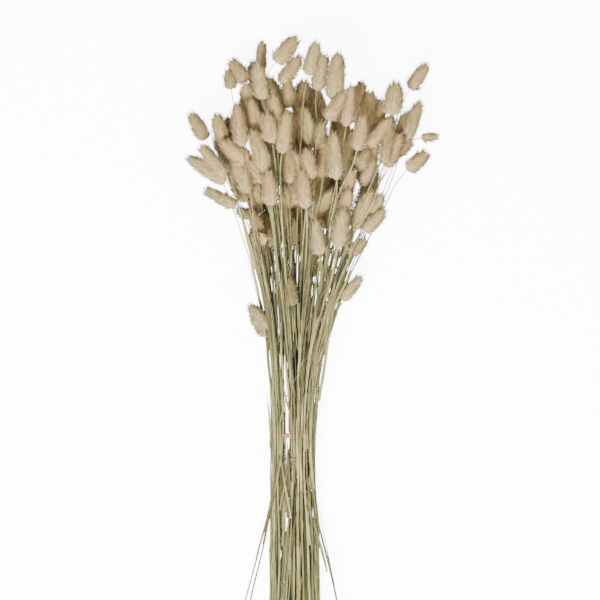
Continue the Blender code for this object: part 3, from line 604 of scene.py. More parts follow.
# middle and half size of the bunch of stems, at rows along it
rows = np.linspace(-320.0, 300.0, 120)
across = np.array([
    [[np.interp(y, way[::-1, 1], way[::-1, a]) for a in (0, 2)] for way in knots] for y in rows
])
row_middle = across.mean(axis=1)
row_half = np.maximum(1.35 * across.std(axis=1), 4.0)


def painted_inner_shade(points):
    """Painted shade: 1 on the outside of the bunch of stems, down to the inner shade at its middle."""
    y = points[:, 1]
    aside = [(points[:, a] - np.interp(y, rows, row_middle[:, c])) / np.interp(y, rows, row_half[:, c])
             for c, a in ((0, 0), (1, 2))]
    out = np.sqrt(aside[0] ** 2 + aside[1] ** 2)
    turning = [at_pixel(0.0, row)[1] for row in SHADE_ROWS]
    inner = np.interp(y, turning, (PAINTED_INNER_SHADE, PAINTED_CROWN_SHADE))
    return inner + (1.0 - inner) * np.interp(out, SHADE_DEPTH, (0.0, 1.0))


def grow_stem(route_knots, dice):
    """One stem: its points, faces and tints."""
    route = smooth_route(route_knots)
    run = np.concatenate([[0.0], np.cumsum(length(route[1:] - route[:-1]))])
    to_waist = length(route_knots[-1] - route_knots[-2])
    joints = [to_waist * dice.uniform(*JOINT_PLACE), to_waist + dice.uniform(*UPPER_JOINT)]
    ends = [joints[0] + dice.uniform(*LOWER_SHEATH), joints[1] + dice.uniform(*UPPER_SHEATH)]
    extra = []
    for joint, end in zip(joints, ends):
        extra += [joint + off for off in JOINT_RINGS] + [end + off for off in SHEATH_RINGS]
    extra = [s for s in extra if s < run[-1] - NECK]
    at = np.sort(np.concatenate([run, extra]))
    at = at[np.concatenate([[True], np.diff(at) > 0.25])]
    fine = np.stack([np.interp(at, run, route[:, axis]) for axis in range(3)], axis=1)
    wave = np.sin(np.clip(at / to_waist, 0.0, 1.0) * math.pi) ** 2
    turns = dice.uniform(*WANDER_TURNS)
    wave = wave * dice.uniform(*WANDER)
    fine[:, 0] += wave * np.sin(at / to_waist * math.pi * turns + dice.uniform(0.0, 6.0))
    loose = np.sin(np.clip((at - to_waist) / FAN_WANDER_LENGTH, 0.0, 1.0) * math.pi) ** 2
    loose = loose * dice.uniform(*FAN_WANDER)
    fine[:, 0] += loose * np.sin((at - to_waist) / FAN_WANDER_PITCH + dice.uniform(0.0, 6.0))
    radii = np.interp(at, [0.0, to_waist, 0.4 * to_waist + 0.6 * run[-1], run[-1]],
                      [CUT_RADIUS, WAIST_RADIUS, FAN_RADIUS, NECK_RADIUS])
    radii = radii * dice.uniform(*THICKER)
    swell = np.zeros(len(at))
    edge = np.zeros(len(at))
    for joint, end in zip(joints, ends):
        bump = np.exp(-(((at - joint) / JOINT_LONG) ** 2))
        swell += JOINT_SWELL * bump + SHEATH_SWELL * ((at > joint) & (at < end))
        edge += bump + 0.8 * np.exp(-(((at - end) / 0.8) ** 2))
    tone = dice.beta(0.6, 0.7)
    body = mix(mix(STRAW_PALE, STRAW_OLIVE, tone**0.7), STRAW_GREEN, dice.uniform(0.0, 0.6))
    if dice.uniform() < BROWN_STEMS:
        body = STRAW_BROWN * 1.3
    upper = np.clip((at - to_waist) / FADE_LENGTH, 0.0, 1.0)[:, None]
    tint = mix(body, STRAW_PALE * NECK_PALE, NECK_FADE * upper)
    tint = mix(tint, STRAW_BROWN, np.clip(edge, 0.0, 0.8)[:, None])
    # painted shade: stems darker inside the bunch
    tint = tint * painted_inner_shade(fine)[:, None]
    fine[:, 2] = np.maximum(fine[:, 2], radii)
    points, faces = tube(fine, radii * (1 + swell), STEM_ROUND, dice.uniform(0.0, 6.0))
    return points, faces, np.repeat(tint, STEM_ROUND, axis=0)


def new_material(name, finish):
    """A material with its finish, its shader, and what links and makes its nodes."""
    material = bpy.data.materials.new(name)
    material.use_nodes = True
    tree = material.node_tree
    shader = tree.nodes["Principled BSDF"]
    for key, value in finish.items():
        shader.inputs[key].default_value = value

    def node(kind, **values):
        made = tree.nodes.new(kind)
        for key, value in values.items():
            if key in made.inputs:
                made.inputs[key].default_value = value
            else:
                setattr(made, key, value)
        return made

    return material, shader, tree.links.new, node


def streaked_tint(name, finish, stretch, scale, dark, light, bump):
    """The tint of each point, streaked along the piece, with the same streaks raised in the surface."""
    material, shader, link, node = new_material(name, finish)
    place = node("ShaderNodeTexCoord")
    squeeze = node("ShaderNodeMapping", Scale=stretch)
    grain = node("ShaderNodeTexNoise", Scale=scale, Detail=4.0, Roughness=0.6)
    shades = node("ShaderNodeMapRange", **{"From Min": 0.3, "From Max": 0.7, "To Min": dark, "To Max": light})
    tint = node("ShaderNodeAttribute", attribute_name="tint")
    mixed = node("ShaderNodeVectorMath", operation="SCALE")
    relief = node("ShaderNodeBump", Strength=bump, Distance=0.0003)
    link(place.outputs["Object"], squeeze.inputs["Vector"])
    link(squeeze.outputs["Vector"], grain.inputs["Vector"])
    link(grain.outputs["Fac"], shades.inputs["Value"])
    link(tint.outputs["Color"], mixed.inputs[0])
    link(shades.outputs["Result"], mixed.inputs["Scale"])
    link(mixed.outputs["Vector"], shader.inputs["Base Color"])
    link(grain.outputs["Fac"], relief.inputs["Height"])
    link(relief.outputs["Normal"], shader.inputs["Normal"])
    return material


straw = streaked_tint(
    "dry straw", {"Roughness": 0.55, "Specular IOR Level": 0.15},
    stretch=(1.0, 0.04, 1.0), scale=900.0, dark=0.3, light=1.5, bump=0.35,
)

made = [grow_stem(route, np.random.default_rng(400 + i)) for i, route in enumerate(knots)]
make_piece("straw_stems", *gather_pieces(made), straw, "stem_straw", ["stems"])


# Flag leaf and sheath scraps
# One dried flag leaf stays on a stem at the right, folded along its rib and curled, grey-green. Brown
# papery scraps of leaf sheath still cling to two other stems.
LEAF_BASE_PX = (336.0, 291.0)
LEAF_TIP_PX = (347.5, 255.0)
LEAF_RISE = 4.0  # of its tip over its base
LEAF_WIDE = 3.5
LEAF_ARCH = 1.5  # how far its middle stands up from a straight line
BLADE_THICK = 0.1  # half the thickness of a papery blade
RIPPLE = 0.06  # of its surface, as a share of its half width
BLADE_END = 0.98  # share of the outline's arch at which its tip ends
LEAF_GREY = np.array((0.026, 0.028, 0.013))
SCRAP_BROWN = np.array((0.16, 0.10, 0.045))
SCRAPS = (((327.5, 303.0), (331.5, 288.0), 1.3), ((291.0, 436.0), (291.0, 406.0), 0.9))


def top_stem(px, py):
    """Point on top of the highest stem that passes the picture's pixel."""
    spot = at_pixel(px, py)
    found = []
    for route in knots:
        way = route[::-1]
        x = np.interp(spot[1], way[:, 1], way[:, 0])
        z = np.interp(spot[1], way[:, 1], way[:, 2])
        found.append((2.0 * abs(x - spot[0]) - z, x, z))
    _, x, z = min(found)
    return np.array([x, spot[1], z])


def blade(rib, wide, fold, twist, across=7, blunt=0.14):
    """A thin papery blade as a closed shell along its rib, folded, twisted and tapered to its tip."""
    steps = len(rib)
    s = np.linspace(0.0, 1.0, steps)
    ahead = np.gradient(rib, axis=0)
    ahead /= length(ahead)[:, None]
    side, up = square_to(ahead)
    spread = wide * np.sin(math.pi * np.clip(blunt + (BLADE_END - blunt) * s, 0.0, 1.0)) ** 0.8
    u = np.linspace(-1.0, 1.0, across)
    turn = (twist * s)[:, None]
    flat = up * np.sin(turn) - side * np.cos(turn)
    rise = up * np.cos(turn) + side * np.sin(turn)
    ripple = RIPPLE * np.sin(9 * s[:, None] + 3 * u[None])
    height = (fold * np.abs(u)[None] ** 1.4 + ripple) * spread[:, None]
    sheet = rib[:, None] + flat[:, None] * (u * spread[:, None])[..., None]
    sheet = sheet + rise[:, None] * height[..., None]
    faces_off = (BLADE_THICK, -BLADE_THICK)
    points = np.concatenate([(sheet + rise[:, None] * off).reshape(-1, 3) for off in faces_off])
    n = steps * across
    faces = []
    for r in range(steps - 1):
        for k in range(across - 1):
            a = r * across + k
            faces.append((a, a + 1, a + across + 1, a + across))
            faces.append((n + a, n + a + across, n + a + across + 1, n + a + 1))
        for a, b in ((r * across, (r + 1) * across), ((r + 2) * across - 1, (r + 1) * across - 1)):
            faces.append((a, b, n + b, n + a))
    for k in range(across - 1):
        last = (steps - 1) * across + k
        faces.append((k + 1, k, n + k, n + k + 1))
        faces.append((last, last + 1, n + last + 1, n + last))
    edge = np.abs(u) ** 3
    shade = (1.0 - 0.25 * edge)[None] * (0.85 + 0.3 * s[:, None])
    return points, faces, np.concatenate([shade.ravel(), shade.ravel()])


def stem_span(way, low, high, count):
    """Points of a stem's smooth route between two places along the bunch."""
    y = np.linspace(low, high, count)
    return np.stack([np.interp(y, way[:, 1], way[:, 0]), y, np.interp(y, way[:, 1], way[:, 2])], axis=1)


papery = streaked_tint(
    "papery leaf", {"Roughness": 0.8, "Specular IOR Level": 0.2},
    stretch=(1.0, 0.08, 1.0), scale=1100.0, dark=0.6, light=1.35, bump=0.5,
)
leaf_base = top_stem(*LEAF_BASE_PX)
leaf_tip = at_pixel(*LEAF_TIP_PX, leaf_base[2] + LEAF_RISE)
s = shares(26)
rib = mix(leaf_base, leaf_tip, s)
rib[:, 2] += (LEAF_ARCH * np.sin(math.pi * s) + 0.6 * s**3)[:, 0]
points, faces, shade = blade(rib, LEAF_WIDE, fold=0.75, twist=0.5)
make_piece("flag_leaf", points, faces, LEAF_GREY * shade[:, None], papery, "stem_straw", ["stems"])
for k, (low, high, wide) in enumerate(SCRAPS):
    base = top_stem(*low) + (0.0, 0.0, 0.9)
    end = top_stem(*high) + (0.6, 0.0, 1.6)
    points, faces, shade = blade(mix(base, end, s), wide, fold=0.5, twist=1.1)
    tint = SCRAP_BROWN * shade[:, None]
    make_piece(f"sheath_scrap_{k}", points, faces, tint, papery, "stem_straw", ["stems"])


# Dry sheaths and fibres
# Thin papery leaf sheaths, dried to straw, still wrap many stems, and their frayed edges stand off as pale
# fibres that cross the other stems. A small knot of fibres hangs on the front of the bunch under the band.
SHEATHS = 190
FAN_SHEATHS = 130
FAN_ROWS = (236.0, 345.0)
SHEATH_ROWS = (245.0, 600.0)
SHEATH_LONG = (28.0, 95.0)
SHEATH_WIDE = (0.5, 1.6)
SHEATH_OFF = (0.5, 1.3)  # from its stem's axis
SHEATH_DRIFT = 3.2  # sideways, from one end to the other
SHEATH_PEEL = 0.8  # and outward
SHEATH_FOLD = 0.55
SHEATH_TWIST = 2.5
SHEATH_LOWEST = 2.2
FIBRES = 110
FIBRE_LONG = (9.0, 30.0)
FIBRE_RADIUS = 0.2
FIBRE_ROWS = (275.0, 600.0)
FIBRE_ASTRAY = 0.22  # how far fibres turn aside, and stand off
FIBRE_OFF = 0.08
KNOT_FIBRE_LONG = (4.0, 8.0)
KNOT_SPREAD = (1.2, 2.0)
KNOT_PX = (289.0, 461.0)
KNOT_FIBRES = 26
KNOT_BACK = (290.0, 446.0, 289.5, 472.0, 2.6)  # the dark scrap of sheath that holds the knot
KNOT_DARK = np.array((0.022, 0.019, 0.006))
KNOT_PALE = np.array((0.42, 0.38, 0.19))
# Loose blades that cross the slit at the waist or lie along the right edge: ends in the picture's pixels,
# and half width
BROWN_BLADES = 7  # the first ones are brown, in the slit
BLADE_OFF = (0.2, 1.3)  # height over the top stem, in the slit and elsewhere
LOOSE_BLADES = (
    (290, 392, 289.5, 433, 1.5), (290.5, 396, 290, 433, 1.3), (289.8, 440, 288.5, 500, 1.6),
    (288, 441, 289.5, 486, 1.4), (287, 448, 288, 490, 1.4), (285.5, 452, 287.5, 520, 1.4),
    (284, 455, 285.5, 505, 1.4), (279, 368, 291.5, 421, 1.1), (292, 379, 280, 423, 0.8),
    (284, 340, 289, 399, 1.3), (292.5, 449, 279.5, 512, 1), (280, 455, 291, 520, 1.2),
    (290, 466, 282, 548, 1), (289.5, 450, 284, 500, 1.5), (284.5, 454, 287.5, 492, 1.2),
    (287.5, 452, 282.5, 530, 1.3), (334, 310, 322.5, 384, 1.5), (329.5, 330, 319.5, 402, 1.4),
    (331.5, 296, 325, 362, 1.3), (286.5, 425, 289, 482, 0.8), (281.2, 418, 280.2, 456, 1.3),
    (279.4, 423, 281.6, 449, 1.1), (293.4, 419, 294.4, 458, 1.3), (301.2, 421, 300.6, 454, 1.2),
    (304.6, 417, 305.2, 452, 1.3), (307.2, 420, 307.6, 450, 1.1), (295.6, 424, 292.6, 449, 1),
)
SHEATH_PALE = np.array((0.30, 0.272, 0.115))
SHEATH_DARK = np.array((0.05, 0.038, 0.013))

ways = [smooth_route(route) for route in knots]


def bunch_at(y):
    """Each stem's place across the bunch, at one place along it."""
    return np.array([stem_span(way, y, y, 1)[0] for way in ways])


def outward(y, dice, upper):
    """A stem on the outside of the bunch, and the way out from the middle there."""
    places = bunch_at(y)
    middle = places.mean(axis=0)
    out = (places - middle) / np.maximum(np.ptp(places, axis=0), 1.0)
    far = length(out) + dice.uniform(0.0, 0.35, len(out))
    if upper:
        far = np.where(out[:, 2] < 0.0, -1.0, far + 0.5 * out[:, 2])
    pick = int(np.argsort(-far)[int(dice.integers(0, 40))])
    return pick, out[pick] / length(out[pick])


made = []
for k in range(SHEATHS + FAN_SHEATHS):
    dice = np.random.default_rng(900 + k)
    row = dice.uniform(*(SHEATH_ROWS if k < SHEATHS else FAN_ROWS))
    y = at_pixel(300.0, row)[1]
    pick, way_out = outward(y, dice, upper=k % 3 != 0)
    long = dice.uniform(*SHEATH_LONG)
    low, high = max(y - long / 2, ways[pick][0, 1] + 4.0), y + long / 2
    s = shares(12)
    rib = stem_span(ways[pick], low, high, 12) + way_out * (dice.uniform(*SHEATH_OFF) + SHEATH_PEEL * s**2)
    rib[:, 0] += (dice.uniform(-1.0, 1.0) * SHEATH_DRIFT * s**2)[:, 0]
    rib[:, 2] = np.maximum(rib[:, 2], SHEATH_LOWEST)
    wide = dice.uniform(*SHEATH_WIDE)
    points, faces, shade = blade(rib, wide, SHEATH_FOLD, dice.uniform(-SHEATH_TWIST, SHEATH_TWIST), across=5)
    tint = mix(SHEATH_PALE, SHEATH_DARK, dice.uniform(0.0, 1.0))
    made.append((points, faces, tint * shade[:, None]))
for k, (x0, y0, x1, y1, wide) in enumerate(LOOSE_BLADES):
    brown = k < BROWN_BLADES
    ends = [top_stem(x0, y0), top_stem(x1, y1)]
    for end, px in zip(ends, (x0, x1)):
        end += (0.0, 0.0, BLADE_OFF[0] if brown else BLADE_OFF[1])
        end[0] = at_pixel(px, 0.0)[0]
    rib = mix(ends[1], ends[0], shares(16))
    points, faces, shade = blade(rib, wide, fold=0.5, twist=1.4, across=5, blunt=0.3)
    pale = 0.12 if brown else 0.3 + 0.5 * (k * GOLDEN % 1.0)
    made.append((points, faces, mix(SHEATH_DARK, SHEATH_PALE, pale) * shade[:, None]))
x0, y0, x1, y1, wide = KNOT_BACK
back = top_stem(*KNOT_PX)[2] + 0.4
rib = mix(at_pixel(x1, y1, back), at_pixel(x0, y0, back), shares(16))
points, faces, shade = blade(rib, wide, fold=0.3, twist=0.4, across=5, blunt=0.3)
made.append((points, faces, KNOT_DARK * shade[:, None]))
make_piece("dry_sheaths", *gather_pieces(made), papery, "stem_straw", ["stems"])

made = []
for k in range(FIBRES + KNOT_FIBRES):
    dice = np.random.default_rng(1100 + k)
    s = shares(9)
    if k < FIBRES:
        y = at_pixel(300.0, dice.uniform(*FIBRE_ROWS))[1]
        pick, way_out = outward(y, dice, upper=k % 3 != 0)
        start = stem_span(ways[pick], y, y, 1)[0] + way_out * 0.8
        long = dice.uniform(*FIBRE_LONG)
        lean = np.array((dice.normal(0.0, FIBRE_ASTRAY), dice.choice((1.0, 1.0, -1.0)), 0.0))
        lean = lean + way_out * dice.uniform(0.0, FIBRE_OFF)
    else:
        start = at_pixel(*KNOT_PX, top_stem(*KNOT_PX)[2] + 1.2)
        start = start + (dice.normal(0.0, KNOT_SPREAD[0]), dice.normal(0.0, KNOT_SPREAD[1]), 0.0)
        long = dice.uniform(*KNOT_FIBRE_LONG)
        turn = dice.uniform(0.0, 2 * math.pi)
        way_out = np.array((0.0, 0.0, 1.0))
        lean = np.array((math.cos(turn), 0.8 * math.sin(turn), 0.3))
    bend = np.cross(lean, way_out) * dice.uniform(-0.5, 0.5) - lean * 0.2
    rib = start + (lean * s + bend * s**2 * 0.8 + way_out * 0.5 * s) * long
    rib[:, 2] = np.maximum(rib[:, 2], 0.8)
    radius = FIBRE_RADIUS * (1.0 if k < FIBRES else 1.2)
    points, faces = tube(rib, radius * (1.0 - 0.6 * s[:, 0]), 4)
    tint = mix(SHEATH_PALE, SHEATH_DARK, dice.uniform(0.0, 0.8)) if k < FIBRES else KNOT_PALE
    made.append((points, faces, np.tile(tint, (len(points), 1))))
make_piece("loose_fibres", *gather_pieces(made), papery, "stem_straw", ["stems"])


# Broken stems
# Thin straw culms that have lost their heads stand in the fan between the other stems, and rest on them.
# Top and low end in the picture's pixels: x, y, x, y
BROKEN_STEMS = (
    (287, 240, 291.5, 300), (288.8, 242, 293, 312), (292, 240, 294.5, 300), (294.3, 240, 296, 318),
    (296.3, 240, 297, 310), (299, 248, 298.5, 325), (301, 248, 300, 320), (273, 244, 278, 330),
    (275, 244, 280, 350), (271.5, 262, 279, 342), (272, 275, 281.5, 362), (312.5, 272, 308.5, 330),
    (315.5, 270, 310, 342), (318, 252, 312, 335), (320, 262, 313.5, 348), (327, 238, 320, 300),
    (330.5, 238, 322.5, 312), (333, 242, 325, 305), (336, 250, 328, 318), (339, 250, 330.5, 305),
    (323.5, 298, 317.5, 356), (298.1, 244, 297.2, 316), (319.2, 268, 310.8, 328),
    (293.8, 238, 295.2, 300), (324, 348, 318.4, 392), (276.2, 285, 280, 348), (328.2, 255, 319.5, 312),
    (270.9, 258, 270.7, 300), (314, 268, 308.6, 318), (336.8, 246, 326, 298), (326.3, 293, 319, 340),
    (338.2, 246, 336, 280), (273.4, 272, 276.6, 316), (332.6, 232, 325.6, 278),
    (323.9, 242, 320.4, 278), (337.2, 258, 330.4, 292), (330.9, 247, 326.6, 279),
    (286, 238, 290.4, 284), (336.2, 238, 329, 270), (318, 248, 318.6, 276), (291.2, 244, 292, 274),
    (283.6, 350, 285, 434), (287.6, 352, 288.4, 412), (281.6, 236, 282.6, 268), (279, 342, 281, 384),
    (290.3, 378, 290.2, 474), (288.9, 398, 289, 478), (284.6, 446, 284.2, 500),
    (323.8, 346, 319.6, 380), (286.9, 240, 288.6, 276), (317.2, 282, 312.4, 322),
    (272.6, 272, 275.6, 306), (327.2, 292, 321.8, 330), (334.6, 250, 329.6, 284),
    (283.8, 380, 284.3, 468), (285.2, 392, 285.6, 462),
)
BROKEN_RADIUS = (0.55, 0.85)
BROKEN_BOW = 0.8
BROKEN_NEAR = 7.0  # they lie as high as the middle one of the stems this near


def among_stems(px, py, depth=0.5):
    """Point at a pixel of the picture, as deep in the bunch as that share of the stems near it."""
    spot = at_pixel(px, py)
    places = bunch_at(spot[1])
    near = np.abs(places[:, 0] - spot[0]) < BROKEN_NEAR
    spot[2] = np.quantile(places[near, 2], depth)
    return spot


made = []
for k, (x0, y0, x1, y1) in enumerate(BROKEN_STEMS):
    dice = np.random.default_rng(1300 + k)
    s = shares(12)
    rib = mix(among_stems(x1, y1), among_stems(x0, y0), s)
    rib[:, 0] += dice.uniform(-BROKEN_BOW, BROKEN_BOW) * np.sin(math.pi * s[:, 0])
    points, faces = tube(rib, dice.uniform(*BROKEN_RADIUS) * (1.0 - 0.25 * s[:, 0]), STEM_ROUND)
    tint = mix(STRAW_PALE, STRAW_OLIVE, dice.uniform(0.0, 1.0))
    tint = mix(tint, STRAW_GREEN, dice.uniform(0.0, 0.6))
    made.append((points, faces, np.tile(tint * dice.uniform(0.4, 0.9), (len(points), 1))))
make_piece("broken_stems", *gather_pieces(made), straw, "stem_straw", ["stems"])


# Rubber band
# A thin copper-orange rubber band, wound three times round the waist of the bunch, under its front stems.
BAND_STRANDS = ((-1.25, 0.3, 0.6), (0.1, -0.5, 2.9), (1.3, 0.35, 5.0))  # place, tilt and start of each
BAND_RADIUS = 0.62
BAND_OUT = 0.95  # from the outer stems
BAND_STEPS = 72
BAND_SIDES = 8
BAND_COLOUR = np.array((0.52, 0.19, 0.06))

rubber = streaked_tint(
    "rubber", {"Roughness": 0.5}, stretch=(1.0, 1.0, 1.0), scale=260.0, dark=0.88, light=1.1, bump=0.2
)
tie = tie_point()
turn = np.linspace(0.0, 2 * math.pi, BAND_STEPS, endpoint=False)
spoke = np.stack([np.cos(turn), 0 * turn, np.sin(turn)], axis=1)
points, faces = [], []
for along, tilt, start in BAND_STRANDS:
    out = BAND_OUT + 0.12 * np.sin(3 * turn + start)
    loop = np.stack([
        (TIE_HALF_WIDTH + STEM_RADIUS_TIE + out) * np.cos(turn),
        along + tilt * np.sin(turn + start) + 0.15 * np.sin(5 * turn + start),
        (TIE_HALF_DEPTH + STEM_RADIUS_TIE + out) * np.sin(turn),
    ], axis=1)
    first = sum(len(p) for p in points)
    for k in range(BAND_SIDES):
        angle = 2 * math.pi * k / BAND_SIDES
        way = spoke * math.cos(angle) + np.array((0, 1, 0)) * math.sin(angle)
        points.append(tie + loop + BAND_RADIUS * way)
        a, b = first + k * BAND_STEPS, first + (k + 1) % BAND_SIDES * BAND_STEPS
        for j in range(BAND_STEPS):
            m = (j + 1) % BAND_STEPS
            faces.append((a + j, b + j, b + m, a + m))
points = np.concatenate(points)
tint = np.tile(BAND_COLOUR, (len(points), 1))
make_piece("rubber_band", points, faces, tint, rubber, "rubber_band", ["band"])


# Seed heads
# Each stem ends in one soft, egg-shaped head. Hundreds of spikelets sit close round a pale core, each a
# tuft of fine silky hairs that lean to the tip, with a stiffer bent bristle that stands out of the down.
CORE_SIZE = 0.74
CORE_LENGTH = 0.91
FULLER = (1.0, 1.16, 1.45)  # down stands fuller on heads deep in the bunch, with this many others over them
OTHERS = (0, 1, 5)
PAINTED_DEEP_LIGHT = (1.0, 1.08, 1.35)  # and painted paler: painted light, standing in for light that passes through the down deep in the bunch
OVER_NEAR = 24.0  # heads this near and this much higher count as over it
OVER_HIGHER = 6.0
NEAR = 26.0
LONE_WITH = (2, 7)  # a head with this few others that near stands alone, and has bleached greyer
LONE_TINT = np.array((0.89, 0.955, 1.03))
# Heads that have dried fuller and longer than the others, by number: fullness, and growth of the length
GROWN = {
    78: (1.53, 1.65), 92: (1.23, 1.65), 20: (1.26, 1.65), 99: (1.45, 1.65), 27: (1.23, 1.6), 79: (1.0, 1.5),
    50: (1.36, 1.16), 68: (1.0, 1.35), 29: (1.2, 1.0),
}
LENGTHENING = 0.4  # at each end, for each unit of that growth
CORE_AT = (0.0, 0.03, 0.09, 0.18, 0.32, 0.48, 0.64, 0.78, 0.89, 0.96, 1.0)
CORE_OUTLINE = (0.25, 0.62, 0.86, 0.97, 1.0, 0.98, 0.93, 0.83, 0.68, 0.50, 0.20)
CORE_SLOPE = (-0.42, 0.5)  # range of its slope that the tufts follow
CORE_RINGS = 18
CORE_ROUND = 14
TUFT_AREA = 5.6  # of the core's surface for each tuft
TUFT_WIDE = 0.95
TUFT_ASTRAY = (0.9, 0.8)  # from its place on the spiral, lengthways and round the head
TUFT_SINK = 0.95  # of its root in the core
TUFT_LEAN = 0.42
LEAN_ASTRAY = (0.18, 0.2)  # outward and sideways
TUFT_LONG = (0.62, 1.02)  # of the head's half width
TUFT_LONG_MM = (3.5, 7.5)  # but within these
TUFT_SHADE = (0.6, 1.26)
HAIRS = 9
HAIR_LONG = (0.6, 1.12)  # of its tuft's length
HAIR_THICK = 0.21
STRAY_HAIRS = 0.3  # share of hairs that don't lie with their tuft
STRAY_SPREAD = (0.8, 2.4)  # how far they spread at their ends, and the others
HAIR_SPREAD = (0.0, 0.5)
PAINTED_SIDE_SHADE = 0.22  # painted shade: down on the sides and underneath is painted darker than on top
LONG_TUFTS = 0.14  # share of tufts that stand out of the others
LONGER = 0.22  # and by how much
AWNS = 1.05  # for each tuft
AWN_THICK = 0.18
AWN_LONG = (5.0, 9.5)
AWN_LIFT = (0.3, 1.0)
AWN_ASTRAY = 0.18
AWN_TONE = 0.8
DOWN_PALE = np.array((0.53, 0.366, 0.149))
DOWN_TAN = np.array((0.44, 0.284, 0.107))
# tone of the back layer of heads, painted darker as painted shade
DOWN_BACK_SHADE = np.array((0.43, 0.278, 0.106))
DOWN_ROSY = np.array((0.55, 0.35, 0.148))
DOWN_GREEN = np.array((0.46, 0.362, 0.143))
DOWN_CREAM = np.array((0.62, 0.49, 0.285))
CREAM_SHARE = 0.45  # at the foot, which is painted the palest end: partly the down's own cream, partly painted light
ROOT_SHADE = 0.64
END_TONE = 1.12  # hairs are paler at their ends
PALEST = 0.95
CREAM_PAINTED_LIGHT = 1.15  # brightness of the cream foot against the rest, which is painted light
# painted light and shade: the foot of each head is painted lighter, its tip darker
PAINTED_FOOT_LIGHT, PAINTED_TIP_SHADE = 1.22, 0.80
ROUNDNESS = 0.75  # how far the hairs take the light as the whole head does


def spikes(base, end, thick, tone, shade, out):
    """Slim three-sided hairs from their roots to their ends: points, faces, tints and normals."""
    ahead = end - base
    ahead /= length(ahead)[:, None]
    side, up = square_to(ahead)
    count = len(base)
    points = np.empty((count, 4, 3))
    normals = np.empty((count, 4, 3))
    for k in range(3):
        turn = 2 * math.pi * k / 3
        spoke = side * math.cos(turn) + up * math.sin(turn)
        points[:, k] = base + spoke * thick
        normals[:, k] = out * ROUNDNESS + spoke * (1.0 - ROUNDNESS)
    points[:, 3] = end
    normals[:, 3] = out * ROUNDNESS + ahead * (1.0 - ROUNDNESS)
    first = 4 * np.arange(count)[:, None]
    faces = np.concatenate([first + np.array(f) for f in ((0, 1, 3), (1, 2, 3), (2, 0, 3))])
    tints = np.empty((count, 4, 3))
    tints[:, :3] = (tone * shade)[:, None]
    tints[:, 3] = np.minimum(tone * END_TONE, PALEST)
    return points.reshape(-1, 3), faces, tints.reshape(-1, 3), normals.reshape(-1, 3)


